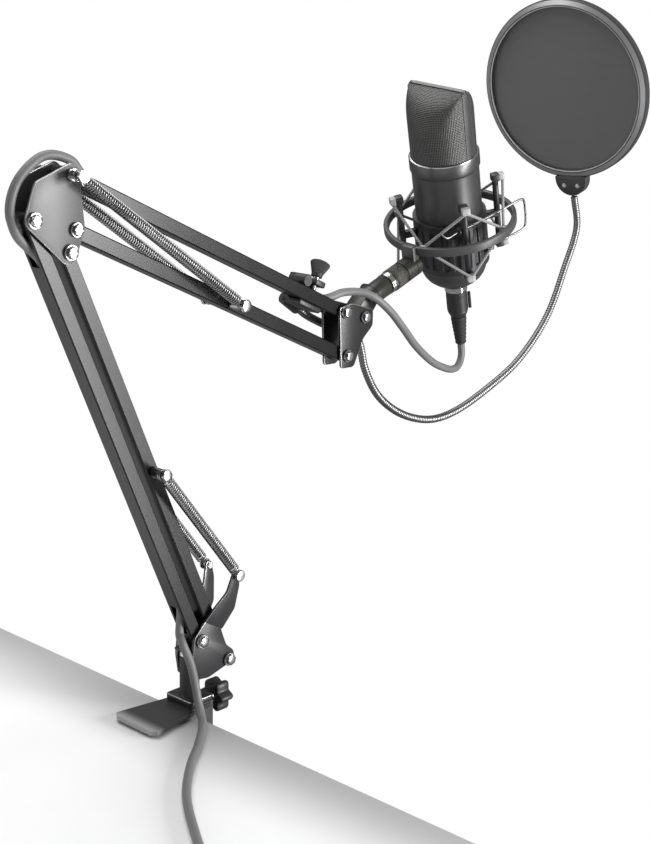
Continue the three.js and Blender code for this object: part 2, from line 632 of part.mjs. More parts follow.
function micCapsule() {
  const z = MIC_RIM + 27;
  const seat = rod([0, 0, MIC_RIM - 6], [0, 0, MIC_RIM - 3], MIC_R - MIC_WALL - 1, 20);
  const stalk = rod([0, 0, MIC_RIM - 4], [0, 0, z], 3.5, 12);
  const disc = rod([-4, 0, z], [4, 0, z], CAPSULE_R, 20);
  const rim = rod([-5, 0, z], [5, 0, z], CAPSULE_R - 3, 20);
  return piece("mic_capsule", surface(join(seat, stalk, disc, rim)), 0xb9a36a, 0.3, 1);
}

function micBoard() {
  const base = block(-14, 14, -0.8, 0.8, MIC_BOTTOM + 8, MIC_RIM - 10);
  const parts = [[-6, 0.5, 8, 4], [5, 0.5, 6, 20], [-4, 0.5, 5, 34]].map(([x, y, s, z]) =>
    block(x - s / 2, x + s / 2, y, y + 5, MIC_BOTTOM + z, MIC_BOTTOM + z + s));
  return piece("mic_board", surface(join(base, ...parts)), 0x2f5a3c, 0.6);
}

function xlrSocket() {
  const top = MIC_BOTTOM - CONE + 3;
  const low = MIC_BOTTOM - CONE - XLR_LONG;
  const shell = turned(ringProfile(XLR_R - 1.3, XLR_R, low, top), 28);
  const insert = rod([0, 0, top - 2.5], [0, 0, top], XLR_R - 1, 28);
  const pins = [90, 210, 330].map((a) => rod(polar(3.6, a, low + 1), polar(3.6, a, top - 1), 1.1, 8));
  return piece("xlr_socket", surface(join(shell, insert, ...pins)), STEEL, 0.2, 1);
}

const PLUG_TOP = MIC_BOTTOM - CONE - XLR_LONG - GAP;

function xlrPlug() {
  const low = PLUG_TOP - PLUG_LONG;
  const shell = turned([[0, low], [PLUG_R - 2, low], [PLUG_R, low + 4], [PLUG_R, PLUG_TOP], [0, PLUG_TOP]], 28);
  const nose = rod([0, 0, PLUG_TOP - 1], [0, 0, PLUG_TOP + 5.4], XLR_R - 1.3 - GAP, 24);
  const holes = [90, 210, 330].map((a) => rod(polar(3.6, a, PLUG_TOP - 3), polar(3.6, a, PLUG_TOP + 9), 1.1 + GAP, 8));
  return piece("xlr_plug", surface(cut(join(shell, nose), ...holes)), 0x1d1d1f, 0.4, 0.1);
}

function plugLatch() {
  const g = block(PLUG_R + GAP, PLUG_R + 2.6, -2.5, 2.5, PLUG_TOP - 18, PLUG_TOP - 4);
  g.rotateZ(-deg(50));
  return piece("plug_latch", g, RUBBER, 0.5);
}

function plugBoot() {
  const top = PLUG_TOP - PLUG_LONG - GAP;
  const profile = [[0, top - BOOT_LONG]];
  const ribs = 4;
  for (let i = 0; i < ribs; i += 1) {
    const z = top - BOOT_LONG + (BOOT_LONG * i) / ribs;
    const r = 4.2 + (2 * i) / ribs;
    profile.push([r, z], [r, z + BOOT_LONG / ribs - 1.2], [r - 0.6, z + BOOT_LONG / ribs - 1.1], [r - 0.6, z + BOOT_LONG / ribs - 0.1]);
  }
  profile.push([PLUG_R - 2.2, top - 0.1], [PLUG_R - 2.2, top], [0, top]);
  return piece("plug_boot", turned(profile, 14), RUBBER, 0.7);
}

// ======== cable, in pieces by the part of the boom that carries it ========
function cable(name, points, steps) {
  return piece(name, sweep(points, CABLE_R, CABLE_SIDES, steps), GREY, 0.7);
}

const lowerAt = (t, out = 0, y = 0) => {
  const p = along(along(baseRear, lowerDir, t), [-lowerDir[1], lowerDir[0]], out);
  return [p[0], y, p[1]];
};
const upperAt = (t, out = 0, y = 0) => {
  const p = along(along(elbowTop, upperDir, t), [-upperDir[1], upperDir[0]], out);
  return [p[0], y, p[1]];
};
const INSIDE = 34; // pivot to where the cable lies straight in a bar

function cablePieces() {
  const L = LOWER_LENGTH;
  const U = UPPER_LENGTH;
  const plugEnd = new THREE.Vector3(0, 0, PLUG_TOP - PLUG_LONG - GAP - BOOT_LONG - GAP);
  mountGroup.updateWorldMatrix(true, false);
  const at = (dz) => plugEnd.clone().add(new THREE.Vector3(0, 0, dz)).applyMatrix4(mountGroup.matrixWorld).toArray();
  const under = (x, y, z) => add3(at(0), [x, y, z]);
  return [
    cable("cable_drop", [
      upperAt(U - INSIDE + GAP), upperAt(U - 26, 0.4), upperAt(U - 16, 3.8), upperAt(U - 8, 8.4, -0.5),
      [headTop[0] + 3, -1.5, headTop[1] + 12.6], [headTop[0] + 12, -4.5, headTop[1] + 13],
      [headTop[0] + 21, -8.6, headTop[1] + 11.6], [headTop[0] + 30, -12.8, headTop[1] + 6.8],
      [headTop[0] + 42.6, -15.2, headTop[1] - 3], [headTop[0] + 59, -14.4, headTop[1] - 17.5],
      [headTop[0] + 82, -10, headTop[1] - 36.4], [headTop[0] + 115.5, -2, headTop[1] - 56],
      under(-37, -12.3, -14), under(-24, -8.3, -17.8), under(-14.5, -5, -19.4), under(-7, -2.6, -19.3),
      under(-1, -0.8, -15.8), under(2, 0.3, -9.5), at(-3.5), at(0),
    ], 44),
    cable("cable_upper_arm", [upperAt(INSIDE), upperAt(U / 2), upperAt(U - INSIDE)], 8),
    cable("cable_elbow", [
      upperAt(INSIDE - GAP), upperAt(25, 0.6), upperAt(14, 5), upperAt(5, 9.4),
      [elbowTop[0] - 3, 0, elbowTop[1] + 10.8], [elbowTop[0] - 12, 0, elbowTop[1] + 11],
      [elbowTop[0] - 21, 0, elbowTop[1] + 7], [elbowRear[0] - 3.5, 0, elbowRear[1] + 23],
      [elbowRear[0] - 8.4, 0, elbowRear[1] + 14], [elbowRear[0] - 10, 0, elbowRear[1] + 4],
      lowerAt(L - 6, 8.8), lowerAt(L - 16, 5), lowerAt(L - 26, 0.6), lowerAt(L - INSIDE + GAP),
    ], 28),
    cable("cable_lower_arm", [lowerAt(L - INSIDE), lowerAt(L / 2), lowerAt(INSIDE)], 8),
    cable("cable_desk", [
      lowerAt(INSIDE - GAP), lowerAt(26, 0.5), lowerAt(18, 4.6), lowerAt(11, 9.6, -1.4), [-16.4, -7.5, 55],
      [-12.4, -11.4, 40], [-10, -13.4, 25], [-10, -16.6, 13], [-13.5, -24, 4.2], [-20, -32, CABLE_R + GAP],
      [-29, -40.5, CABLE_R + GAP], [-45, -54, CABLE_R + GAP], [-66, -70, CABLE_R + GAP],
      [-95, -98, CABLE_R + GAP], [-120, -132, CABLE_R + GAP], [COIL_AT[0] + 40, COIL_AT[1] + 23.5, CABLE_R + GAP],
    ], 44),
  ];
}

function cableCoil() {
  const g = turned(ringProfile(COIL_R - 9, COIL_R + 9, GAP, GAP + 12.6), 32);
  g.translate(COIL_AT[0], COIL_AT[1], 0);
  return piece("cable_coil", g, GREY, 0.7);
}

function usbPlug() {
  const x = COIL_AT[0] - COIL_R - 17;
  const y = COIL_AT[1];
  const body = block(x - 5.6, x + 5.6, y - 14, y + 14, GAP, GAP + 8);
  const blade = block(x - 6, x + 6, y + 13, y + 27, GAP + 1.8, GAP + 6.2);
  return piece("usb_plug", surface(join(body, blade)), RUBBER, 0.5);
}

// ======== pop filter ========
const clampGroup = new THREE.Group();
clampGroup.name = "filter_clamp_place";
const CLAMP_BACK = 31; // from the top head pivot, along the bar
clampGroup.position.set(...side(along(headTop, upperDir, -CLAMP_BACK), 0));
clampGroup.rotation.y = deg(UPPER_DROP);
const CLAMP_SCREW_R = 2.5;
const NECK_OUT = 12; // gooseneck behind the clamp's back plate

function filterClamp() {
  const r = BAR_DEEP / 2 + GAP;
  const back = BAR_WIDE / 2 + GAP;
  const spine = block(-15, 8, back, back + 5, -r - 4, r + 8);
  const lower = block(-15, 8, -BAR_WIDE / 2, back + 5, -r - 4, -r);
  const upper = block(-5, 5, -BAR_WIDE / 2, back + 5, r + 3.6, r + 8);
  const boss = rod([-11, -4, r + 4.4], [-11, back + 5, r + 4.4], 4.4, 16);
  const ferrule = rod([-6, back + NECK_OUT, -4], [11, back + NECK_OUT, -7], NECK_R + 2, 18);
  const bridge = block(-6, 6, back + 4, back + NECK_OUT - 1, -8, 0);
  const hole = rod([0, 0, r + 1], [0, 0, r + 20], CLAMP_SCREW_R + GAP, 14);
  return piece("filter_clamp", surface(cut(join(spine, lower, upper, boss, ferrule, bridge), hole)), BLACK, 0.5, 0.1);
}

function filterWing() {
  const r = BAR_DEEP / 2 + GAP;
  const shaft = rod([0, 0, r], [0, 0, r + 14], CLAMP_SCREW_R, 12);
  const wing = slab([[-8, r + 21], [-3, r + 10], [3, r + 10], [8, r + 21], [3, r + 23], [-3, r + 23]], -2, 2, 0.6);
  wing.rotateZ(deg(-35));
  return piece("filter_clamp_wing", surface(join(shaft, wing)), RUBBER, 0.5);
}

const filterGroup = new THREE.Group();
filterGroup.name = "filter";
const FILTER_AT = [443, 16, 418.8];
const faceDir = new THREE.Vector3(-0.9702, -0.0951, -0.2225).normalize();
const riseDir = new THREE.Vector3(-0.225, 0.0166, 0.9742);
riseDir.addScaledVector(faceDir, -riseDir.dot(faceDir)).normalize();
const acrossDir = new THREE.Vector3().crossVectors(riseDir, faceDir);
filterGroup.position.set(...FILTER_AT);
filterGroup.quaternion.setFromRotationMatrix(new THREE.Matrix4().makeBasis(acrossDir, riseDir, faceDir));

const FOOT_END = FILTER_R + FOOT_R + 1;

function filterHoop() {
  const mid = -FILTER_DEEP / 2;
  const inner = FILTER_R - FILTER_RIM;
  const groove = 1.1;
  const hoop = turned([
    [inner, -FILTER_DEEP], [FILTER_R - 1, -FILTER_DEEP], [FILTER_R, -FILTER_DEEP + 1.5], [FILTER_R, -1.5],
    [FILTER_R - 1, 0], [inner + 1, 0], [inner, -1], [inner, mid + groove], [inner + 3, mid + groove],
    [inner + 3, mid - groove], [inner, mid - groove], [inner, -FILTER_DEEP],
  ], 44);
  const shape = new THREE.Shape();
  const steps = 10;
  shape.moveTo(-FOOT_R, -FILTER_R + 3);
  for (let i = 0; i <= steps; i += 1) {
    const a = Math.PI + (Math.PI * i) / steps;
    shape.lineTo(FOOT_R * Math.cos(a), -FILTER_R - 1 + FOOT_R * Math.sin(a));
  }
  shape.lineTo(FOOT_R, -FILTER_R + 3);
  const foot = new THREE.ExtrudeGeometry(shape, { depth: FILTER_DEEP - 1, bevelEnabled: false });
  foot.translate(0, 0, -FILTER_DEEP + 0.5);
  const trim = rod([0, 0, -FILTER_DEEP - 5], [0, 0, 5], FILTER_R - 2, 44);
  return piece("filter_hoop", surface(join(hoop).add(cut(join(foot), trim))), 0x2c2c2e, 0.4, 0.1);
}

function filterMesh() {
  const g = rod([0, 0, -FILTER_DEEP / 2 - 0.7], [0, 0, -FILTER_DEEP / 2 + 0.7], FILTER_R - FILTER_RIM + 2.6, 44);
  return piece("filter_mesh", g, 0x4a4a4c, 0.9);
}

function gooseneck() {
  clampGroup.updateWorldMatrix(true, false);
  filterGroup.updateWorldMatrix(true, false);
  const back = BAR_WIDE / 2 + GAP;
  const start = (x) => new THREE.Vector3(x, back + NECK_OUT, -7 - (x - 11) * 0.18).applyMatrix4(clampGroup.matrixWorld).toArray();
  const end = (d) => new THREE.Vector3(0, -FOOT_END - d, -FILTER_DEEP / 2).applyMatrix4(filterGroup.matrixWorld).toArray();
  return piece("gooseneck", sweep([
    start(11.4), start(22), [headTop[0] + 16, 19, headTop[1] - 17], [headTop[0] + 36, 19, headTop[1] - 22],
    [headTop[0] + 48, 18.8, headTop[1] - 33], [headTop[0] + 54.5, 18, headTop[1] - 54], [209.5, 17, 192],
    [226.7, 16, 177], [252.3, 16, 164.4], [282.3, 16, 157.5], [312.9, 16, 159.5], [357.8, 16, 172.6],
    [399.9, 16, 191], [439.2, 16, 224.1], [461.7, 16, 263.3], end(30), end(GAP),
  ], NECK_R, 8, 52), 0xa9abad, 0.25, 1);
}

// ======== assembly ========
const lowerSpringAt = along(baseFront, lowerDir, LOWER_SPRING_AT);
const upperSpringAt = along(elbowLow, upperDir, UPPER_SPRING_AT);
const hornTip = add(baseRear, HORN_TIP);

function pinnedBar(name, from, to, color, at) {
  const mesh = bar(name, from, to, color);
  const hole = rod(side(at, -BAR_WIDE), side(at, BAR_WIDE), HOLE_R, 12);
  mesh.geometry = surface(cut(solid(mesh.geometry), hole));
  return mesh;
}

const object = new THREE.Group();
object.name = "boom_microphone";
object.add(clampFrame(), jawPad(), clampScrew(), clampHandle(), pressurePad(), socketTube(), lockKnob());
object.add(swivelBlock(), baseBracket(), bolt("base_bolt_rear", baseRear, PLATE_OUT + GAP),
  bolt("base_bolt_front", baseFront, PLATE_OUT + GAP));
object.add(
  bar("lower_bar_rear", baseRear, elbowRear, 0x404042,
    [[8, INSIDE - 2, 1], [LOWER_LENGTH - INSIDE + 4, LOWER_LENGTH - 8, 1]]),
  pinnedBar("lower_bar_front", baseFront, elbowFront, 0x404042, lowerSpringAt),
  springSolid("lower_spring_near", hornTip, lowerSpringAt, -SPRING_Y),
  springSolid("lower_spring_far", hornTip, lowerSpringAt, SPRING_Y),
  springPin("lower_spring_pin", lowerSpringAt, BOLT_R),
);
object.add(
  plateWith("elbow_plate_near", elbowOutline, [elbowRear, elbowFront, elbowLow, elbowTop], -PLATE_OUT, -PLATE_IN, SATIN),
  plateWith("elbow_plate_far", elbowOutline, [elbowRear, elbowFront, elbowLow, elbowTop], PLATE_IN, PLATE_OUT, SATIN),
  bolt("elbow_bolt_rear", elbowRear, PLATE_OUT + GAP), bolt("elbow_bolt_front", elbowFront, PLATE_OUT + GAP),
  bolt("elbow_bolt_low", elbowLow, PLATE_OUT + GAP, 4.6), elbowSpringBolt(),
);
object.add(
  bar("upper_bar_top", elbowTop, headTop, 0x404042, [[8, INSIDE - 4, 1], [UPPER_LENGTH - 26, UPPER_LENGTH - 4.5, 1]]),
  pinnedBar("upper_bar_low", elbowLow, headLow, 0x404042, upperSpringAt),
  springSolid("upper_spring_near", elbowTop, upperSpringAt, -SPRING_Y),
  springSolid("upper_spring_far", elbowTop, upperSpringAt, SPRING_Y),
  springPin("upper_spring_pin", upperSpringAt, BOLT_R),
);
object.add(
  plateWith("head_plate_near", headOutline, [headTop, headLow, tiltPivot], -PLATE_OUT, -PLATE_IN, BLACK),
  plateWith("head_plate_far", headOutline, [headTop, headLow, tiltPivot], PLATE_IN, PLATE_OUT, BLACK),
  bolt("head_bolt_top", headTop, PLATE_OUT + GAP), bolt("head_bolt_low", headLow, PLATE_OUT + GAP, 4.6),
  bolt("tilt_bolt", tiltPivot, PLATE_OUT + GAP, 4.6),
);
headGroup.add(stemBlock(), tiltThumbscrew(), stemRing(), mountGroup);
mountGroup.add(shockRing(), micBasket(), elasticCords(), clipWire(), micBody(), micGrille(), micCapsule(),
  micBoard(), xlrSocket(), xlrPlug(), plugLatch(), plugBoot());
object.add(headGroup);
object.add(...cablePieces(), cableCoil(), usbPlug());
clampGroup.add(filterClamp(), filterWing());
filterGroup.add(filterHoop(), filterMesh());
object.add(clampGroup, filterGroup, gooseneck());

object.position.x = JAW_MIDDLE;

export default object;
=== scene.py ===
import bpy
import json
import numpy as np
from mathutils import Matrix


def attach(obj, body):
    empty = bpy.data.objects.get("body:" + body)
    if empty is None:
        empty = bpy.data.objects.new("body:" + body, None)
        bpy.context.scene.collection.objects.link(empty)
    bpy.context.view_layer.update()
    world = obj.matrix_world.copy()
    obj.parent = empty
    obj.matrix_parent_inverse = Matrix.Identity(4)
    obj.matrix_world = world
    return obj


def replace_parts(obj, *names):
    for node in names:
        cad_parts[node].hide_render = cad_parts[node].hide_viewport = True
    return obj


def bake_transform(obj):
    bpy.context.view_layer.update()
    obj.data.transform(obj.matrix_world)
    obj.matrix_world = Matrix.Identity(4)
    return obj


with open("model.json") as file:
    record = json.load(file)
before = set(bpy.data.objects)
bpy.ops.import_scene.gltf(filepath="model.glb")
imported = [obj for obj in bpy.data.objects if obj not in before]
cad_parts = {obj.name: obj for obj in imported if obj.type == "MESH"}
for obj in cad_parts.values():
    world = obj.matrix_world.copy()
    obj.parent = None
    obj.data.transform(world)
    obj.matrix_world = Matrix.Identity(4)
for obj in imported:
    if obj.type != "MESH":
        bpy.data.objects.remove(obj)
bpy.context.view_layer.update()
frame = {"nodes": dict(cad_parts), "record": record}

# The view: a long lens above and to the left of the boom, looking down at it.
# A wide soft panel on the right and one overhead light it; the desk is a pale board
# whose edge the clamp grips.
mm = 0.001
yaw, pitch, roll = np.radians([-47.696, 14.452, 1.205])
back = np.array([np.sin(yaw) * np.cos(pitch), -np.cos(yaw) * np.cos(pitch), np.sin(pitch)])
level = np.array([np.cos(yaw), np.sin(yaw), 0.0])
upright = np.cross(back, level)
right = np.cos(roll) * level + np.sin(roll) * upright
up = np.cos(roll) * upright - np.sin(roll) * level
lens = bpy.data.cameras.new("camera")
lens.lens = 65.11
lens.sensor_width = 36.0
camera = bpy.data.objects.new("camera", lens)
camera.matrix_world = Matrix(
    [[*row, at] for row, at in zip(np.column_stack([right, up, back]), [-0.6460, -0.7363, 0.4662])]
    + [[0, 0, 0, 1]]
)
bpy.context.scene.collection.objects.link(camera)
bpy.context.scene.camera = camera
bpy.context.scene.view_settings.view_transform = "Standard"


def soft_panel(name, place, aim, width, height, watts):
    """A rectangular light at place. Its back points from aim to place, and its width lies level."""
    light = bpy.data.lights.new(name, "AREA")
    light.shape = "RECTANGLE"
    light.size, light.size_y, light.energy = width, height, watts
    panel = bpy.data.objects.new(name, light)
    away = np.array(place, float) - np.array(aim, float)
    across = np.cross([0, 0, 1.0], away)
    across = across / np.linalg.norm(across)
    away = away / np.linalg.norm(away)
    panel.matrix_world = Matrix(
        [[*row, at] for row, at in zip(np.column_stack([across, np.cross(away, across), away]), place)]
        + [[0, 0, 0, 1]]
    )
    bpy.context.scene.collection.objects.link(panel)


soft_panel("panel_right", (0.7, -1.25, 0.38), (0.0, 0, 0.3), 0.5, 0.62, 21)
soft_panel("panel_low", (0.74, -1.2, -0.2), (0.3, 0, 0.3), 0.26, 0.5, 9)
soft_panel("panel_top", (0.1, 0.35, 1.7), (0.1, 0.0, 0.2), 1.4, 1.4, 26)
soft_panel("panel_left", (-1.5, 0.9, 0.9), (0.0, 0, 0.25), 0.7, 0.9, 5)

sky = bpy.data.worlds.new("room")
sky.use_nodes = True
sky_nodes, sky_links = sky.node_tree.nodes, sky.node_tree.links
seen = sky_nodes["Background"]
seen.inputs["Color"].default_value = (1, 1, 1, 1)
seen.inputs["Strength"].default_value = 1.0
lit = sky_nodes.new("ShaderNodeBackground")
lit.inputs["Color"].default_value = (1, 1, 1, 1)
lit.inputs["Strength"].default_value = 0.22
ray = sky_nodes.new("ShaderNodeLightPath")
either = sky_nodes.new("ShaderNodeMixShader")
sky_links.new(ray.outputs["Is Camera Ray"], either.inputs["Fac"])
sky_links.new(lit.outputs["Background"], either.inputs[1])
sky_links.new(seen.outputs["Background"], either.inputs[2])
sky_links.new(either.outputs["Shader"], sky_nodes["World Output"].inputs["Surface"])
bpy.context.scene.world = sky


def finish(name, colour, rough, metal=0.0, grain=2500.0, depth=0.1, drift=0.08, spread=0.06, shine=0.5):
    """Colour = base x (1 +- drift) by a slow noise, roughness = rough +- spread by the same noise,
    and a fine noise of `grain` cycles to the metre raised by `depth` as bump."""
    made = bpy.data.materials.new(name)
    made.use_nodes = True
    nodes, links = made.node_tree.nodes, made.node_tree.links
    shader = nodes["Principled BSDF"]
    shader.inputs["Metallic"].default_value = metal
    shader.inputs["Specular IOR Level"].default_value = shine
    where = nodes.new("ShaderNodeTexCoord")
    slow = nodes.new("ShaderNodeTexNoise")
    slow.inputs["Scale"].default_value = 45.0
    slow.inputs["Detail"].default_value = 4.0
    tint = nodes.new("ShaderNodeMix")
    tint.data_type = "RGBA"
    tint.inputs[6].default_value = (*[c * (1 - drift) for c in colour], 1)
    tint.inputs[7].default_value = (*[min(1.0, c * (1 + drift)) for c in colour], 1)
    gloss = nodes.new("ShaderNodeMapRange")
    gloss.inputs["To Min"].default_value = max(0.03, rough - spread)
    gloss.inputs["To Max"].default_value = rough + spread
    fine = nodes.new("ShaderNodeTexNoise")
    fine.inputs["Scale"].default_value = grain
    fine.inputs["Detail"].default_value = 2.0
    raise_ = nodes.new("ShaderNodeBump")
    raise_.inputs["Strength"].default_value = depth
    raise_.inputs["Distance"].default_value = 0.0002
    links.new(where.outputs["Object"], slow.inputs["Vector"])
    links.new(where.outputs["Object"], fine.inputs["Vector"])
    links.new(slow.outputs["Fac"], tint.inputs[0])
    links.new(slow.outputs["Fac"], gloss.inputs["Value"])
    links.new(tint.outputs[2], shader.inputs["Base Color"])
    links.new(gloss.outputs["Result"], shader.inputs["Roughness"])
    links.new(fine.outputs["Fac"], raise_.inputs["Height"])
    links.new(raise_.outputs["Normal"], shader.inputs["Normal"])
    return made


def dress(node, *finishes):
    """Gives a carried-over part its finish."""
    mesh = frame["nodes"][node].data
    mesh.materials.clear()
    for one in finishes:
        mesh.materials.append(one)


board_finish = finish("pale_board", (0.9, 0.9, 0.9), 0.6, depth=0.02, drift=0.01)


def banded(material, start, end, tone, blend="MULTIPLY"):
    """Carries a finish's colour smoothly over to another tone between two distances along X."""
    nodes, links = material.node_tree.nodes, material.node_tree.links
    where, along, fade, mix = [
        nodes.new("ShaderNode" + kind) for kind in ("TexCoord", "SeparateXYZ", "MapRange", "Mix")]
    fade.interpolation_type = "SMOOTHSTEP"
    fade.inputs["From Min"].default_value = start
    fade.inputs["From Max"].default_value = end
    mix.data_type = "RGBA"
    mix.blend_type = blend
    mix.inputs[7].default_value = (tone, tone, tone, 1)
    shader = nodes["Principled BSDF"]
    links.new(where.outputs["Object"], along.inputs["Vector"])
    links.new(along.outputs["X"], fade.inputs["Value"])
    links.new(fade.outputs["Result"], mix.inputs[0])
    links.new(shader.inputs["Base Color"].links[0].from_socket, mix.inputs[6])
    links.new(mix.outputs[2], shader.inputs["Base Color"])


# Painted shade: the board's colour is multiplied down to 0.45 at its edge and fades back over the last 80 mm,
# standing in for the shade along the desk's edge.
banded(board_finish, -0.06, 0.022, 0.45)
board = bpy.data.meshes.new("desk_board")
edge_x, board_deep = 20.2 * mm, 27.8 * mm
board.from_pydata(
    [(x, y, z) for x in (-2.5, edge_x) for y in (-2.5, 2.5) for z in (-board_deep, -0.0002)],
    [],
    [(0, 1, 3, 2), (4, 6, 7, 5), (0, 4, 5, 1), (2, 3, 7, 6), (1, 5, 7, 3), (0, 2, 6, 4)],
)
board.materials.append(board_finish)
desk = bpy.data.objects.new("desk_board", board)
bpy.context.scene.collection.objects.link(desk)

# The lead: a soft grey jacketed cable of 6 mm from the plug under the microphone, through
# both boom bars and round the elbow, down the post and over the desk to a neat coil with
# its plug beside it. It is moulded in one length; the stretch at the plug and those in the bars are each
# carried by one joint.
# Joints' pivots are in millimetres, and axes are unit vectors where they are used.
cable_r = 3.0
pivot = {
    j["name"]: np.array(j["pos_m"]) / mm for j in frame["record"]["behaviour"]["joints"] if "pos_m" in j
}
axis_of = {j["name"]: np.array(j["axis"], float) for j in frame["record"]["behaviour"]["joints"]}
mic_at = pivot["mic_turn"]
mic_up = axis_of["mic_turn"] / np.linalg.norm(axis_of["mic_turn"])
stem_dir = axis_of["mount_roll"] / np.linalg.norm(axis_of["mount_roll"])
mic_side = np.cross(mic_up, stem_dir)
mount_turn = np.column_stack([stem_dir, mic_side, mic_up])


def in_mount(points):
    """Points given along the stem, across it and up the microphone, turned into the object's frame."""
    return mic_at + np.asarray(points, float) @ mount_turn.T


def along_bar(start, end, out_sign):
    """A rule for points on a bar: distance from its first pivot, distance out of it, and sideways."""
    run = (end - start) / np.linalg.norm(end - start)
    out = np.array([-run[2], 0, run[0]]) * out_sign
    return lambda far, off=0.0, y=0.0: start + run * far + out * off + np.array([0, y, 0])


lower_at = along_bar(pivot["lower_arm"], pivot["elbow_pivot"], 1)
upper_at = along_bar(pivot["upper_arm"], pivot["head_pivot"], 1)
lower_long = np.linalg.norm(pivot["elbow_pivot"] - pivot["lower_arm"])
upper_long = np.linalg.norm(pivot["head_pivot"] - pivot["upper_arm"])


def smooth_line(points, step=2.0):
    """A centripetal Catmull-Rom curve through the points, cut at equal steps of its own length."""
    p = np.asarray(points, float)
    p = np.vstack([2 * p[0] - p[1], p, 2 * p[-1] - p[-2]])
    gap = np.linalg.norm(np.diff(p, axis=0), axis=1) ** 0.5
    t = np.linspace(0, 1, 24, endpoint=False)[:, None]
    pieces = []
    for i in range(1, len(p) - 2):
        a, b, c, d = p[i - 1 : i + 3]
        g0, g1, g2 = gap[i - 1 : i + 2]
        m1 = ((b - a) / g0 - (c - a) / (g0 + g1) + (c - b) / g1) * g1
        m2 = ((c - b) / g1 - (d - b) / (g1 + g2) + (d - c) / g2) * g1
        pieces.append(b + m1 * t + (-3 * b + 3 * c - 2 * m1 - m2) * t**2 + (2 * b - 2 * c + m1 + m2) * t**3)
    line = np.vstack([*pieces, p[-2]])
    run = np.concatenate([[0], np.cumsum(np.linalg.norm(np.diff(line, axis=0), axis=1))])
    cuts = np.linspace(0, run[-1], max(3, int(round(run[-1] / step)) + 1))
    return np.column_stack([np.interp(cuts, run, line[:, k]) for k in range(3)])


def rings_along(line, radius, sides=16, turn=0.0):
    """Circles round a line, each square to it; each is the one before turned by the least angle."""
    line = np.asarray(line, float)
    ahead = np.gradient(line, axis=0)
    ahead = ahead / np.linalg.norm(ahead, axis=1)[:, None]
    first = np.cross(ahead[0], [0.0, 1.0, 0.0] if abs(ahead[0][1]) < 0.9 else [1.0, 0, 0])
    across = [first / np.linalg.norm(first)]
    for here in ahead[1:]:
        kept = across[-1] - here * (across[-1] @ here)
        across.append(kept / np.linalg.norm(kept))
    across = np.array(across)
    other = np.cross(ahead, across)
    round_ = np.linspace(0, 2 * np.pi, sides, endpoint=False) + turn
    size = np.broadcast_to(np.asarray(radius, float).reshape(-1, 1, 1), (len(line), 1, 1))
    circle = np.cos(round_)[None, :, None] * across[:, None] + np.sin(round_)[None, :, None] * other[:, None]
    return line[:, None] + circle * size


def make(name, skins, finishes, body=None, fold=0.6):
    """Each skin is rows of points in millimetres joined by four-sided faces. A "tube" has its end rows
    closed by a face, a "loop" has them joined to each other, and a "sheet" is open on all sides.
    A tube or loop is turned to point out of its volume. The map "lie" holds the share of the way
    round and the millimetres along, unless the skin brings its own."""
    points, faces, kinds, lies, count = [], [], [], [], 0
    for rows, shape, kind, *own in skins:
        rows = np.asarray(rows, float)
        steps, sides = rows.shape[:2]
        index = np.arange(steps * sides).reshape(steps, sides)
        if shape != "sheet":
            index = np.hstack([index, index[:, :1]])
        if shape == "loop":
            index = np.vstack([index, index[:1]])
        last, across = index.shape[0] - 1, index.shape[1] - 1
        if own:
            lie_at = own[0]
        else:
            run = np.linalg.norm(np.diff(np.vstack([rows, rows[:1]]), axis=0), axis=2).mean(1)
            run = np.concatenate([[0], np.cumsum(run)])[: last + 1]
            lie_at = np.stack(np.meshgrid(np.linspace(0, 1, across + 1), run), -1)
        quads = np.stack([index[:-1, :-1], index[:-1, 1:], index[1:, 1:], index[1:, :-1]], -1).reshape(-1, 4)
        lie = np.stack([lie_at[:-1, :-1], lie_at[:-1, 1:], lie_at[1:, 1:], lie_at[1:, :-1]], 2)
        lie = lie.reshape(-1, 4, 2)
        flat = rows.reshape(-1, 3)
        ends = [index[0, :-1][::-1], index[-1, :-1]] if shape == "tube" else []
        if shape != "sheet":
            q = flat[quads] - flat.mean(0)
            volume = (q[:, 0] * (np.cross(q[:, 1], q[:, 2]) + np.cross(q[:, 2], q[:, 3]))).sum()
            for end in ends:
                e = flat[end] - flat.mean(0)
                volume += (e[0] * np.cross(e[1:-1], e[2:])).sum()
            if volume < 0:
                quads, lie, ends = quads[:, ::-1], lie[:, ::-1], [e[::-1] for e in ends]
        points.append(flat)
        faces += (quads + count).tolist() + [(e + count).tolist() for e in ends]
        kind = np.broadcast_to(kind, (last + 1,))
        kinds += np.repeat(kind[:last], across).tolist() + [int(kind[last])] * len(ends)
        lies += [lie.reshape(-1, 2)] + [np.zeros((len(e), 2)) for e in ends]
        count += len(flat)
    mesh = bpy.data.meshes.new(name)
    mesh.from_pydata((np.vstack(points) * mm).tolist(), [], faces)
    layer = mesh.uv_layers.new(name="lie")
    layer.data.foreach_set("uv", np.vstack(lies).astype(np.float32).ravel())
    for one in finishes:
        mesh.materials.append(one)
    mesh.polygons.foreach_set("material_index", np.array(kinds, np.int32))
    mesh.shade_smooth()
    mesh.set_sharp_from_angle(angle=fold)
    made = bpy.data.objects.new(name, mesh)
    bpy.context.scene.collection.objects.link(made)
    if body:
        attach(made, body)
    return made


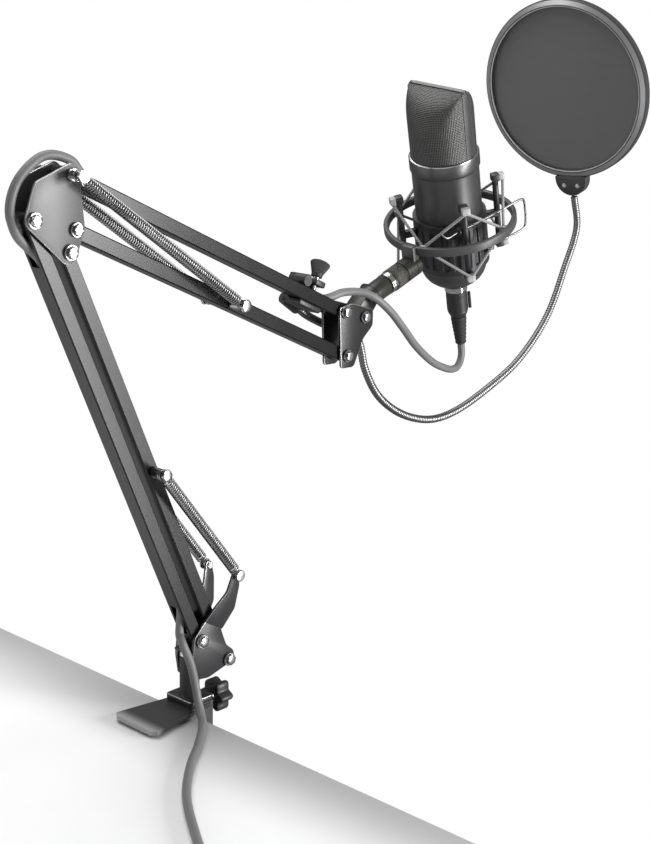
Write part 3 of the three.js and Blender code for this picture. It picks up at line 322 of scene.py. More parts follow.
jacket = finish("cable_jacket", (0.16, 0.16, 0.163), 0.5, grain=1800, depth=0.25, drift=0.06)
into_bar = 33.7  # from a pivot along the bar to where the lead lies straight in it
on_desk = cable_r + 0.3
plug_end = -111.9
in_plug = lambda down: in_mount([0, 0, plug_end + down])
head_top = pivot["head_pivot"]
drop_points = np.array([
    upper_at(upper_long - into_bar), upper_at(upper_long - 26, 0.4), upper_at(upper_long - 16, 3.8),
    upper_at(upper_long - 8, 8.4, -0.5),
    *(head_top + np.array([
        [3, -1.5, 12.6], [12, -4.5, 13], [21, -8.6, 11.6], [30, -12.8, 6.8], [42.6, -15.2, -3],
        [59, -14.4, -17.5], [82, -10, -36.4], [115.5, -2, -56],
    ])),
    *(in_plug(0) + np.array([
        [-37, -12.3, -14], [-24, -8.3, -17.8], [-14.5, -5, -19.4], [-7, -2.6, -19.3],
        [-1, -0.8, -15.8], [2, 0.3, -9.5],
    ])),
    in_plug(-3.5), in_plug(0),
])
elbow_rear, elbow_top = pivot["elbow_pivot"], pivot["upper_arm"]
elbow_points = np.array([
    upper_at(into_bar), upper_at(25, 0.6), upper_at(14, 5), upper_at(5, 9.4),
    elbow_top + [-3, 0, 10.8], elbow_top + [-12, 0, 11], elbow_top + [-21, 0, 7],
    elbow_rear + [-3.5, 0, 23], elbow_rear + [-8.4, 0, 14], elbow_rear + [-10, 0, 4],
    lower_at(lower_long - 6, 8.8), lower_at(lower_long - 16, 5), lower_at(lower_long - 26, 0.6),
    lower_at(lower_long - into_bar),
])
coil_at, coil_wide = np.array([-158.0, -204.0]), 34.0
down_points = np.array([
    lower_at(into_bar), lower_at(26, 0.5), lower_at(18, 4.6), lower_at(11, 9.6, -1.4), [13.6, -7.5, 55],
    [17.6, -11.4, 40], [20, -13.4, 25], [20, -16.6, 13], [16.5, -24, 4.2], [10, -32, on_desk],
    [1, -40.5, on_desk], [-15, -54, on_desk], [-36, -70, on_desk], [-65, -98, on_desk],
    [-90, -132, on_desk], [-109, -163, on_desk], [-117.2, -188, on_desk],
])


def coil_line(turns=5.35, per_turn=36):
    """Round turns, three side by side on the desk from the outside in and three on top of them from
    the inside out, each stepping to the next in the same short sector."""
    turn = np.linspace(0, turns, int(turns * per_turn) + 1)
    place = np.floor(turn)
    share = turn - place
    ease = lambda x: np.clip(x, 0, 1) ** 2 * (3 - 2 * np.clip(x, 0, 1))
    lane = np.array([1, 0, -1, -1, 0, 1, 1.0])
    here = lane[place.astype(int)]
    there = lane[place.astype(int) + 1]
    far = coil_wide + 2 * cable_r * (here + (there - here) * ease((share - 0.8) / 0.2))
    climb = ease((turn - 2.55) / 0.25)
    angle = -2 * np.pi * turn - 0.16
    return np.column_stack([
        coil_at[0] + far * np.cos(angle), coil_at[1] + far * np.sin(angle), on_desk + 2 * cable_r * climb
    ])


def stretch(name, line, nodes=(), body=None, between=None):
    """One stretch of the lead: round rings on its line; the length of that line is worked out but not used.
    """
    piece = make(name, [(rings_along(line, cable_r), "tube", 0)], [jacket], body)
    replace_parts(piece, *nodes)
    if between:
        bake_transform(piece)
    long = np.linalg.norm(np.diff(line, axis=0), axis=1).sum() * mm
    return piece


def split(line, *marks):
    """Cuts a line at its points nearest to the marks; neighbours share the cut point."""
    cuts = [0, *[int(np.argmin(np.linalg.norm(line - m, axis=1))) for m in marks], len(line) - 1]
    return [line[a : b + 1] for a, b in zip(cuts[:-1], cuts[1:])]


def turned(origin, axis, profile, sides=32, flats=0, turn=0.0):
    """Circles about an axis from [distance, radius] pairs; with flats, the circle becomes a polygon
    no wider than the radius of its own row."""
    axis = np.asarray(axis, float) / np.linalg.norm(axis)
    first = np.cross(axis, [0.0, 0, 1] if abs(axis[2]) < 0.9 else [1.0, 0, 0])
    first = first / np.linalg.norm(first)
    second = np.cross(axis, first)
    angle = np.linspace(0, 2 * np.pi, sides, endpoint=False) + turn
    profile = np.asarray(profile, float)
    far, radius = profile[:, 0], np.repeat(profile[:, 1:2], sides, 1)
    if flats:
        half = np.pi / flats
        polygon = np.cos(half) / np.cos((angle - turn) % (2 * half) - half) * profile[:, 1].max()
        radius = np.minimum(radius, polygon[None])
    circle = np.cos(angle)[None, :, None] * first + np.sin(angle)[None, :, None] * second
    return np.asarray(origin, float) + far[:, None, None] * axis + circle * radius[:, :, None]


def rounded_bar(outline, low, high, lay, edge=0.4):
    """A closed outline carried from low to high by lay(x, y, z), each end drawn in by a rounded edge.
    The outline's corners keep their own roundness; inset is along the mean of the two side normals."""
    outline = np.asarray(outline, float)
    side = np.roll(outline, -1, 0) - np.roll(outline, 1, 0)
    out = np.column_stack([side[:, 1], -side[:, 0]])
    out = out / np.maximum(np.linalg.norm(out, axis=1), 1e-9)[:, None]
    x, y = outline.T
    out = out * np.sign((x * np.roll(y, -1) - np.roll(x, -1) * y).sum())
    rows = []
    for inset, height in ((edge, low), (0.3 * edge, low + 0.3 * edge), (0, low + edge),
                          (0, high - edge), (0.3 * edge, high - 0.3 * edge), (edge, high)):
        ring = outline - out * inset
        rows.append(lay(ring[:, 0], ring[:, 1], np.full(len(ring), height)))
    return np.array(rows)


def round_corners(corners, radius, per=5):
    """Each corner becomes a parabolic arc between points `radius` away along its two sides."""
    corners = np.asarray(corners, float)
    made = []
    for before, here, after in zip(np.roll(corners, 1, 0), corners, np.roll(corners, -1, 0)):
        a = here + (before - here) * min(0.45, radius / np.linalg.norm(before - here))
        b = here + (after - here) * min(0.45, radius / np.linalg.norm(after - here))
        t = np.linspace(0, 1, per)[:, None]
        made.append(a * (1 - t) ** 2 + here * 2 * t * (1 - t) + b * t**2)
    return np.vstack(made)


black_plastic = finish("black_plastic", (0.022, 0.022, 0.024), 0.42, grain=2600, depth=0.25)
black_rubber = finish("black_rubber", (0.02, 0.02, 0.021), 0.62, grain=1800, depth=0.3)
chrome = finish("chrome", (0.78, 0.78, 0.79), 0.12, 1.0, grain=500, depth=0.03, spread=0.03)
zinc = finish("bright_zinc", (0.4, 0.4, 0.405), 0.24, 1.0, grain=1500, depth=0.12, drift=0.1)

plug_rows = turned(in_mount([0, 0, -61.3]), -mic_up, [
    [-5.3, 5.2], [-5.3, 7.5], [-0.2, 7.5], [0, 7.6], [0, 8.3], [0.3, 8.6], [3.2, 8.6], [3.5, 8.35],
    [3.9, 8.35], [4.2, 8.6], [17.5, 8.6], [18.0, 8.2], [18.6, 8.2], [19.0, 8.4], [21.2, 7.7],
    [23.4, 6.6], [23.9, 6.2], [24, 5.6]], 40)
plug = make("xlr_plug_shell", [(plug_rows, "tube", 0)], [black_plastic], "plug")
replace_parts(plug, "xlr_plug")
latch_dir = np.array([np.cos(np.radians(-50)), np.sin(np.radians(-50))])
latch_side = np.array([-latch_dir[1], latch_dir[0]])
latch_lay = lambda x, y, z: in_mount(np.column_stack([
    latch_dir[0] * z + latch_side[0] * x, latch_dir[1] * z + latch_side[1] * x, y]))
latch_edge = round_corners([[-2.5, -79.3], [2.5, -79.3], [2.5, -65.3], [-2.5, -65.3]], 1.4)
latch = make("plug_release", [(rounded_bar(latch_edge, 8.75, 11.2, latch_lay, 0.7), "tube", 0)],
             [black_rubber], "latch")
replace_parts(latch, "plug_latch")
boot_long, collar_long, rib_apart, rib_high = 26, 3, 3.6, 0.32
boot_far = np.linspace(0, boot_long, 131)
boot_ribs = np.clip(np.cos(2 * np.pi * boot_far / rib_apart) * 3, -1, 1) * rib_high
boot_r = np.interp(boot_far, [0, collar_long, boot_long], [6.3, 6.1, 4.1])
boot_r = boot_r + np.where(boot_far > collar_long, boot_ribs, 0.0)
boot_rows = turned(in_mount([0, 0, -85.6]), -mic_up, np.column_stack([boot_far, boot_r]), 28)
boot = make("plug_ribbed_boot", [(boot_rows, "tube", 0)], [black_rubber], "plug")
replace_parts(boot, "plug_boot")

drop = split(smooth_line(drop_points), drop_points[5], drop_points[10], drop_points[17])
lead_end = make("lead_end", [(rings_along(drop[3], cable_r), "tube", 0)], [jacket], "plug")
stretch("lead_from_upper_bar", drop[0], ["cable_drop"],
        between=("upper_top", "head", drop_points[1], drop_points[4]))
stretch("lead_past_stem", drop[1], between=("head", "stem", drop_points[5], drop_points[7]))
stretch("lead_under_mount", drop[2], between=("stem", "mount", drop_points[10], drop_points[15]))
upper_run = np.linspace(upper_at(34), upper_at(upper_long - 34), 40)
stretch("lead_in_upper_bar", upper_run, ["cable_upper_arm"], "upper_top")
elbow = split(smooth_line(elbow_points), elbow_points[7])
stretch("lead_over_elbow", elbow[0], ["cable_elbow"],
        between=("upper_top", "elbow", elbow_points[2], elbow_points[5]))
stretch("lead_behind_elbow", elbow[1], between=("elbow", "lower_rear", elbow_points[8], elbow_points[11]))
lower_run = np.linspace(lower_at(lower_long - 34), lower_at(34), 50)
stretch("lead_in_lower_bar", lower_run, ["cable_lower_arm"], "lower_rear")

usb_at = np.array([coil_at[0] - coil_wide - 17, coil_at[1], 4.3])
usb_lay = lambda x, y, z: usb_at + np.column_stack([x, z, y])
usb_grip = round_corners([[-5.6, -3.9], [5.6, -3.9], [5.6, 3.9], [-5.6, 3.9]], 2.4)
usb_blade = round_corners([[-6, -2.2], [6, -2.2], [6, 2.2], [-6, 2.2]], 0.5)
usb_tail = [[0, 4.2], [1.5, 4.0], [4, 3.7], [8, 3.3], [8.4, 3.1]]
usb = make("usb_plug_body", [
    (rounded_bar(usb_grip, -14, 13, usb_lay, 1.2), "tube", 0),
    (rounded_bar(usb_blade, 12.5, 27, usb_lay, 0.25), "tube", 1),
    (turned(usb_at + [0, -13.6, 0], [0, -1, 0], usb_tail, 20), "tube", 0),
], [black_rubber, chrome], "clamp")
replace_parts(usb, "usb_plug")
down = split(smooth_line(np.vstack([down_points, coil_line()])), down_points[5])
coil_last = coil_line()[-1]
wrap = np.vstack([down[1], smooth_line(np.vstack([
    coil_last, [-197.5, -222.5, 7.6], [-205.5, -221.5, 5.4], [-209, -217.5, 4.4]]))[1:]])
stretch("lead_down_base", down[0], between=("lower_rear", "base", down_points[2], down_points[4]))
stretch("lead_on_desk", wrap, ["cable_desk", "cable_coil"],
        between=("base", "clamp", down_points[5], down_points[7] + [0, -3, -5]))

# The desk clamp: a black powder-coated steel C with a thin jaw and a rubber face on the desk,
# a zinc screw with a sliding handle and a rubber foot under it, and a welded socket tube.
# A star knob on its own screw locks the boom's pin in the socket.
black_steel = finish("black_powder_coat", (0.02, 0.02, 0.021), 0.34, grain=2200, depth=0.2,
                     drift=0.1, shine=0.35)
# Painted highlight: a brighter metal colour on the plates' rounded rims, standing in for the light glinting
# along them.
edge_highlight = finish("painted_edge_highlight", (0.38, 0.38, 0.385), 0.3, 0.85, grain=1600, depth=0.2, drift=0.25)
jaw_steel = finish("jaw_coat_grey_band", (0.028, 0.028, 0.03), 0.34, grain=2200, depth=0.3, drift=0.1)
# The jaw's colour blends into a flat light grey of 0.4 between x = -13 mm and x = -28 mm, and is that grey
# beyond.
banded(jaw_steel, -0.013, -0.028, 0.4, "MIX")
dress("clamp_frame", jaw_steel)
dress("jaw_pad", black_rubber)
dress("pressure_pad", black_rubber)
dress("clamp_screw", zinc)
dress("clamp_handle", zinc)
post_x, socket_low, socket_top = 27.3, 5.8, 40.0
upright_lay = lambda x, y, z: np.column_stack([x, y, z])
flat_lay = lambda x, y, z: np.column_stack([x, z, y])
edge_rows = [1, 1, 0, 1, 1, 0]  # a plate's drawn-in rims take the painted edge highlight, its faces don't
flange_edge = round_corners([
    [post_x - 11, -13], [post_x + 11, -13], [post_x + 11, 13], [post_x - 11, 13]], 2.5)
flange = rounded_bar(flange_edge, socket_low, socket_low + 5, upright_lay, 0.6)
tube = turned([post_x, 0, 0], [0, 0, 1], [
    [socket_low + 4.5, 8.2], [socket_low + 5.6, 7.4], [socket_low + 7, 7.0],
    [socket_top - 0.6, 7.0], [socket_top, 6.5]], 40)
socket = make("socket_post", [(flange, "tube", edge_rows), (tube, "tube", 0)],
              [black_steel, edge_highlight], "clamp")
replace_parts(socket, "socket_tube")
knob_z, knob_r, knob_lobes = 2.0, 12, 6
knob_turn = np.linspace(0, 2 * np.pi, 144, endpoint=False)
star_r = knob_r * (0.86 + 0.14 * np.cos(knob_lobes * knob_turn))
star = star_r[:, None] * np.column_stack([np.cos(knob_turn), np.sin(knob_turn)])
knob_lay = lambda x, y, z: np.column_stack([z, x, y + knob_z])
knob_screw = [[31.5, 2.4], [32, 2.9], [45.2, 2.9], [45.4, 5.2], [47.0, 5.2], [47.2, 4.8], [47.8, 4.6]]
knob_boss = [[59.0, 6.0], [59.5, 6.0], [60.0, 5.0], [60.1, 2.0]]
knob = make("star_lock_knob", [
    (rounded_bar(star, 47.5, 59.5, knob_lay, 1.8), "tube", 0),
    (turned([0, 0, knob_z], [1, 0, 0], knob_screw, 24), "tube", 1),
    (turned([0, 0, knob_z], [1, 0, 0], knob_boss, 24), "tube", 0),
], [black_plastic, zinc], "lock")
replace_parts(knob, "lock_knob")

# The base: two folded steel cheeks either side of the bars, joined by a shelf and a web, with a
# horn on each that holds a spring's eye. They turn on a pin with a bright washer under them.
plate_in, plate_out, bolt_r = 7.4, 9.4, 2.5
base_rear, base_front = pivot["lower_arm"], pivot["lower_front_pivot"]
(rx, _, rz), (fx, _, fz) = base_rear, base_front  # the two pivots, side on
cheek = round_corners([
    [rx + 4, rz + 13.3], [rx - 6.2, rz + 3.3], [rx - 8.1, rz - 12], [rx - 5.5, rz - 27.9],
    [rx + 6.6, rz - 29.7], [fx + 1.5, fz - 3.5], [fx + 6.1, fz - 0.2], [fx + 5, fz + 5.5],
    [fx - 2, fz + 11.4], [fx - 5.9, fz + 21.2], [rx + 14.7, rz + 17],
], 2.2, 4)
horn_tip = np.array([rx + 28.5, rz + 43.1])
horn_edge = round_corners([
    [rx + 3, rz + 12], [rx + 17, rz + 3.4], [rx + 20, rz + 3.4], [horn_tip[0] + 1.5, horn_tip[1] - 26],
    [horn_tip[0] + 3.8, horn_tip[1] - 9], [horn_tip[0] + 2.5, horn_tip[1] + 3],
    [horn_tip[0] - 2.5, horn_tip[1] + 3], [horn_tip[0] - 7, horn_tip[1] - 12], [rx + 12, rz + 22],
], 1.8, 4)
fold_axis = np.array([1, 0, -0.55]) / np.hypot(1, 0.55)


def horn_lay(which):
    """Turns a horn outwards about its root by 8 degrees (Rodrigues' turn of a point about an axis)."""
    angle = -which * np.radians(8)
    root = np.array([rx + 10, 0, rz + 9])

    def lay(x, y, z):
        here = np.column_stack([x, z, y]) - root
        spun = (here * np.cos(angle) + np.cross(fold_axis, here) * np.sin(angle)
                + fold_axis * (here @ fold_axis)[:, None] * (1 - np.cos(angle)))
        return spun + root + [0, which * (plate_out - 1), 0]
    return lay


base_paint = finish("base_black", (0.03, 0.03, 0.032), 0.36, grain=2200, depth=0.2, drift=0.12, shine=0.4)
cheek_sides = {"near": (-plate_out, -plate_in), "far": (plate_in, plate_out)}
base_skins = [
    (rounded_bar(cheek, *span, flat_lay, 0.35), "tube", edge_rows) for span in cheek_sides.values()]
base_skins += [(rounded_bar(horn_edge, -1, 1, horn_lay(w), 0.35), "tube", edge_rows) for w in (-1, 1)]
web = [[rx + 8, rz - 29.2], [fx - 6, fz - 4.9], [fx - 6, fz - 3.3], [rx + 8, rz - 27.6]]
shelf_low, shelf_high = socket_top + 3.8, socket_top + 5.5
shelf = [[post_x - 7, shelf_low], [rx + 9, shelf_low], [rx + 9, shelf_high], [post_x - 7, shelf_high]]
for across_it in (web, shelf):
    base_skins.append((rounded_bar(across_it, -plate_in - 0.4, plate_in + 0.4, flat_lay, 0.2), "tube", 0))
horn_at = np.array([horn_tip[0], 0, horn_tip[1]])
stud = [[11.5, 2.3], [12, 2.5], [17.8, 2.5], [17.8, 4.1], [18.9, 4.1], [19.3, 3.7], [19.4, 3.0]]
base_skins += [(turned(horn_at, [0, w, 0], stud, 28), "tube", 1) for w in (-1, 1)]
bracket = make("base_cheeks", base_skins, [base_paint, edge_highlight], "base")
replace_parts(bracket, "base_bracket")
pin_rows = turned([post_x, 0, 0], [0, 0, 1], [
    [-10, 4.8], [40.3, 4.8], [40.3, 6.6], [40.6, 7.0], [43.2, 7.0], [43.5, 6.6]], 40)
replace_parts(make("swivel_washer", [(pin_rows, "tube", 0)], [chrome], "base"), "swivel_pin")


def hex_bolt(name, node, at, body, head_r=5.0, half=plate_out + 0.3):
    """A washer and a chamfered hexagon with a slightly domed top on the near side, and a washer,
    nut and thread end on the far side; the shank joins them through the pivot."""
    skins = [(turned(at, [0, 1, 0], [[-half - 1, bolt_r], [half + 1, bolt_r]], 20), "tube", 0)]
    seat, hex_r = half + 1.5, head_r * 0.82
    washer = [[half, head_r - 0.3], [half + 0.25, head_r], [seat - 0.25, head_r], [seat, head_r - 0.3]]
    for w, tall in ((-1, 2.1), (1, 2.9)):
        skins.append((turned(at, [0, w, 0], washer, 36), "tube", 0))
        skins.append((turned(at, [0, w, 0], [
            [seat, hex_r], [seat + tall * 0.7, hex_r], [seat + tall * 0.9, hex_r * 0.93],
            [seat + tall, hex_r * 0.82], [seat + tall * 1.06, hex_r * 0.45]], 36, 6, 0.3), "tube", 0))
    bolt = make(name, skins, [zinc], body, 0.5)
    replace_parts(bolt, node)


hex_bolt("rear_base_bolt", "base_bolt_rear", base_rear, "base")
hex_bolt("front_base_bolt", "base_bolt_front", base_front, "base")

# The boom: four square steel tubes in satin black, two side by side in each half, so that the
# head stays level. Each pair is pinned to the cheeks of the base, the elbow and the head.
bar_paint = finish("bar_satin_black", (0.009, 0.009, 0.010), 0.24, grain=900, depth=0.02,
                   drift=0.1, spread=0.03, shine=0.32)
for bar_name in ("lower_bar_rear", "lower_bar_front", "upper_bar_top", "upper_bar_low"):
    dress(bar_name, bar_paint)

# The springs: close-wound bright wire, 8 mm across, hooked over a pin at one end and over the
# horn's stud or the elbow's long bolt at the other. Two balance each half of the boom.
spring_steel = finish("spring_wire", (0.3, 0.3, 0.305), 0.26, 1.0, grain=1500, depth=0.1, drift=0.15)
wire_r, coil_r = 0.6, 3.4


def spring(name, node, start, end, y, bodies, pitch=2.0):
    """A helix between two eyes: round the first pin, then `length / pitch` turns about the line
    between the pins, then round the second; the wire is a tube on that path."""
    start, end = np.array([start[0], y, start[2]]), np.array([end[0], y, end[2]])
    run = (end - start) / np.linalg.norm(end - start)
    out = np.array([-run[2], 0, run[0]])
    long = np.linalg.norm(end - start)
    eye = bolt_r + 0.3 + wire_r
    from_pin = eye + 2.6
    curl = np.radians(np.linspace(75, 330, 16))[:, None]
    first = start + eye * (np.cos(curl) * run + np.sin(curl) * out)
    turns = (long - 2 * from_pin) / pitch
    spin = np.linspace(0, 2 * np.pi * turns, int(turns * 16))[:, None]
    far = from_pin + pitch * spin / (2 * np.pi)
    coils = start + far * run + coil_r * (-np.cos(spin) * out + np.sin(spin) * [0, 1, 0])
    last = end - eye * (np.cos(curl[::-1]) * run - np.sin(curl[::-1]) * out)
    line = np.vstack([first, coils, last])
    made = make(name, [(rings_along(line, wire_r, 8), "tube", 0)], [spring_steel], None, 1.2)
    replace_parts(made, node)
    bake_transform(made)


lower_run_dir = (pivot["elbow_pivot"] - base_rear) / lower_long
lower_pin_at = base_front + lower_run_dir * 165
upper_run_dir = (pivot["head_pivot"] - elbow_top) / upper_long
elbow_low = pivot["upper_low_pivot"]
upper_pin_at = elbow_low + upper_run_dir * 146.5
spring_y = 16.5
for half, start, end, bodies in (("lower", horn_at, lower_pin_at, ("base", "lower_front")),
                                 ("upper", elbow_top, upper_pin_at, ("elbow", "upper_low"))):
    for side, y in (("near", -spring_y), ("far", spring_y)):
        spring(f"{half}_spring_coils_{side}", f"{half}_spring_{side}", start, end, y, bodies)


def cross_pin(name, node, at, body):
    """A pin through a bar with a spacer and a hexagon at each end, the spring's eye between them;
    each is a profile turned about the pin, outwards on both sides."""
    skins = [(turned(at, [0, 1, 0], [[-19.5, 2.5], [19.5, 2.5]], 20), "tube", 0)]
    spacer = [[6.8, 3.4], [7.1, 3.7], [14.6, 3.7], [14.9, 3.4]]
    hexagon = [[18.5, 4.5], [20.3, 4.5], [20.9, 4.1], [21.2, 3.2], [21.3, 1.6]]
    for w in (-1, 1):
        skins.append((turned(at, [0, w, 0], spacer, 28), "tube", 0))
        skins.append((turned(at, [0, w, 0], hexagon, 36, 6), "tube", 0))
    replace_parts(make(name, skins, [zinc], body, 0.5), node)


cross_pin("lower_cross_pin", "lower_spring_pin", lower_pin_at, "lower_front")
cross_pin("upper_cross_pin", "upper_spring_pin", upper_pin_at, "upper_low")

# The elbow: a satin grey steel plate on each side of the four bar ends, on three short bolts and
# one long one that also holds the upper springs. Its cut edges carry a painted highlight.
elbow_paint = finish("elbow_satin_grey", (0.11, 0.11, 0.112), 0.46, 0.5, grain=2000, depth=0.2, drift=0.12)
(ex, _, ez), (bx, _, bz), (tx, _, tz) = elbow_rear, elbow_low, elbow_top  # its rear, low and top bolts
cx, cz = ex + 26, ez - 21  # its front bolt
elbow_edge = round_corners([
    [ex - 6, ez + 1.5], [ex - 5, ez - 3.5], [cx - 4.5, cz - 6.8], [cx - 0.5, cz - 7.6], [cx + 4.3, cz - 5.4],
    [bx + 7.3, bz + 0.2], [tx + 7.4, tz - 9], [tx + 6, tz + 4], [tx + 1, tz + 7.4], [ex + 1.7, ez + 22.4],
], 3.0, 5)
for side, span in cheek_sides.items():
    skin = (rounded_bar(elbow_edge, *span, flat_lay, 0.45), "tube", edge_rows)
    plate = make(f"elbow_cheek_{side}", [skin], [elbow_paint, edge_highlight], "elbow")
    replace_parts(plate, f"elbow_plate_{side}")
hex_bolt("rear_elbow_bolt", "elbow_bolt_rear", elbow_rear, "elbow")
hex_bolt("front_elbow_bolt", "elbow_bolt_front", np.array([cx, 0, cz]), "elbow")
hex_bolt("low_elbow_bolt", "elbow_bolt_low", elbow_low, "elbow", 4.6)
long_skins = [(turned(elbow_top, [0, 1, 0], [[-20.5, 2.5], [20.5, 2.5]], 24), "tube", 0)]
for w in (-1, 1):
    for low, tall in ((plate_out + 0.3, 2.7), (19.5, 3.0)):
        nut = [[low, 3.9], [low + 0.3, 4.3], [low + tall - 0.4, 4.3], [low + tall, 3.8]]
        long_skins.append((turned(elbow_top, [0, w, 0], nut, 36, 6, 0.2), "tube", 0))
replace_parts(make("long_elbow_bolt", long_skins, [zinc], "elbow", 0.5), "elbow_spring_bolt")

# The head: two black steel cheeks on the ends of the upper bars carry the stem, which tilts on a
# third bolt and is tightened by a thumbscrew. The stem is a turned aluminium barrel with a thread.
tilt_at = pivot["head_tilt"]
head_low = elbow_low + upper_run_dir * upper_long
(hx, _, hz), (lx, _, lz), (gx, _, gz) = head_top, head_low, tilt_at  # its top, low and tilt bolts
head_edge = round_corners([
    [hx - 6, hz + 3.5], [lx - 6, lz - 9], [lx + 8, lz - 9.5], [gx - 1, gz - 16.5], [gx + 9.8, gz - 7.6],
    [gx + 9.8, gz + 4.6], [hx + 7, hz + 5.6],
], 3.0, 5)
for side, span in cheek_sides.items():
    skin = (rounded_bar(head_edge, *span, flat_lay, 0.4), "tube", edge_rows)
    plate = make(f"head_cheek_{side}", [skin], [black_steel, edge_highlight], "head")
    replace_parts(plate, f"head_plate_{side}")
hex_bolt("top_head_bolt", "head_bolt_top", head_top, "head")
hex_bolt("low_head_bolt", "head_bolt_low", head_low, "head", 4.6)
hex_bolt("head_tilt_bolt", "tilt_bolt", tilt_at, "head", 4.6)
stem_out = np.array([-stem_dir[2], 0, stem_dir[0]])
by_stem = lambda x, y, z: np.outer(x, stem_dir) + np.outer(y, stem_out) + np.outer(z, [0, 1.0, 0])
in_stem = lambda x, y, z: tilt_at + by_stem(x, y, z)
stem_rise = 6  # the barrel's axis above the tilt bolt
neck_at = np.array([13, stem_rise])
half_round = np.arctan2(*neck_at[::-1]) + np.linspace(-np.pi / 2, np.pi / 2, 16)
arc = lambda middle, radius, angle: middle + radius * np.column_stack([np.cos(angle), np.sin(angle)])
knuckle = np.vstack([arc(neck_at, 6.8, half_round), arc(0, 7.4, half_round + np.pi)])
olive_black = finish("stem_olive_black", (0.04, 0.039, 0.033), 0.34, 0.4, grain=1800, depth=0.15)
stem_axis_at = tilt_at + stem_out * stem_rise
thread_far = np.linspace(37, 52.5, 125)
thread = np.column_stack([thread_far, 5.2 + 0.2 * np.sign(np.sin(2 * np.pi * thread_far / 1.2))])
stem = make("stem_and_thread", [
    (rounded_bar(knuckle, -7.1, 7.1, in_stem, 0.5), "tube", 0),
    (turned(stem_axis_at, stem_dir, [
        [10, 6.0], [12.5, 7.6], [13.2, 8.0], [20, 8.0], [20.4, 7.6], [21.4, 7.6], [21.8, 8.0],
        [36.4, 8.0], [37.4, 7.6], [38, 6.8]], 48), "tube", 0),
    (turned(stem_axis_at, stem_dir, thread, 32), "tube", 1),
], [olive_black, zinc], "stem")
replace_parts(stem, "stem_block")
thumb_at = stem_axis_at + stem_dir * 31 - stem_out * 3
knurl = finish("knurled_black", (0.03, 0.03, 0.032), 0.4, 0.3, grain=2500, depth=0.2)
grip_turn = np.linspace(0, 2 * np.pi, 120, endpoint=False)
grip_edge = arc(0, (4.75 + 0.25 * np.cos(24 * grip_turn))[:, None], grip_turn)
thumb_lay = lambda x, y, z: thumb_at + by_stem(x, y, z)
thumbscrew = make("stem_thumbscrew", [
    (turned(thumb_at, [0, 1, 0], [[3, 2], [12, 2]], 20), "tube", 1),
    (rounded_bar(grip_edge, 10, 17, thumb_lay, 0.5), "tube", 0),
], [knurl, zinc], "thumbscrew")
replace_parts(thumbscrew, "tilt_thumbscrew")
ring_far = np.linspace(38.3, 42.5, 43)
ring_profile = np.column_stack([ring_far, 8.2 + 0.2 * np.cos(2 * np.pi * (ring_far - 38.3) / 1.05)])
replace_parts(make("threaded_ring", [(turned(stem_axis_at, stem_dir, ring_profile, 48), "tube", 0)], [chrome],
                 "ring_nut"), "stem_ring")

# The shock mount: a dark plastic ring on a knurled adapter, and inside it a ribbed basket that
# grips the microphone. Woven elastic cords run zig-zag between hooks on the ring and posts on
# the basket, so that it floats.
ring_grey = finish("mount_dark_grey", (0.06, 0.06, 0.062), 0.38, grain=2000, depth=0.2, drift=0.08)
pale_cap = finish("post_cap_grey", (0.42, 0.42, 0.43), 0.4, grain=2200, depth=0.15)
ring_turn = np.linspace(0, 2 * np.pi, 144, endpoint=False)


def round_ring(section, turn=ring_turn, place=in_mount):
    """A closed outline of [radius, height] carried round the axis; each row is the outline at one angle."""
    section = np.asarray(section, float)
    flat = np.stack([np.outer(np.cos(turn), section[:, 0]), np.outer(np.sin(turn), section[:, 0]),
                     np.tile(section[:, 1], (len(turn), 1))], -1)
    return place(flat.reshape(-1, 3)).reshape(flat.shape)


outer_section = round_corners([[48, -3.5], [52, -3.5], [52, 3.5], [48, 3.5]], 1.3, 5)
mount_box = lambda x, y, z: in_mount(np.column_stack([z, x, y]))
adapter_z = -13.7
adapter_at = in_mount([0, 0, adapter_z])
knurl_turn = np.linspace(0, 2 * np.pi, 180, endpoint=False)
knurl_far = np.linspace(-78.5, -66.5, 41)[:, None]
knurl_r = 8.6 + 0.22 * np.maximum(
    np.cos(30 * knurl_turn + knurl_far * 3.4), np.cos(30 * knurl_turn - knurl_far * 3.4))
knurled = in_mount(np.stack([
    knurl_far + 0 * knurl_turn, knurl_r * np.cos(knurl_turn), adapter_z + knurl_r * np.sin(knurl_turn)
], -1).reshape(-1, 3)).reshape(*knurl_r.shape, 3)
adapter = turned(adapter_at, stem_dir, [
    [-79.7, 7.2], [-79.3, 8.2], [-78.6, 8.4], [-78.4, 8.5], [-66.6, 8.5], [-66.2, 8.0], [-65.2, 8.0],
    [-64.8, 8.8], [-55, 8.8], [-54.6, 8.3], [-53.8, 8.3], [-53.4, 8.8], [-48.6, 8.8], [-47.8, 8.0]], 48)
ring_foot = round_corners([[-6, adapter_z], [6, adapter_z], [6, 4.4], [-6, 4.4]], 2)
mount_ring = make("shock_mount_ring", [
    (round_ring(outer_section), "loop", 0),
    (knurled, "tube", 1),
    (adapter, "tube", 1),
    (rounded_bar(ring_foot, -55, -48.3, mount_box, 1.0), "tube", 0),
], [ring_grey, olive_black], "mount")
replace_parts(mount_ring, "shock_ring")

post_angles = np.radians(55 + 90 * np.arange(4))
hook_angles = post_angles + np.pi / 4


def spoke_box(angle, r0, r1, half, z0, z1, edge=0.8, corner=1.2):
    """A rounded block pointing out from the microphone's axis: x of its outline goes across the spoke,
    y up the microphone, and its length from r0 to r1 along the spoke."""
    out = np.array([np.cos(angle), np.sin(angle)])
    across = np.array([-out[1], out[0]])
    lay = lambda x, y, z: in_mount(np.column_stack([
        out[0] * z + across[0] * x, out[1] * z + across[1] * x, y]))
    outline = round_corners([[-half, z0], [half, z0], [half, z1], [-half, z1]], corner, 4)
    return rounded_bar(outline, r0, r1, lay, edge)


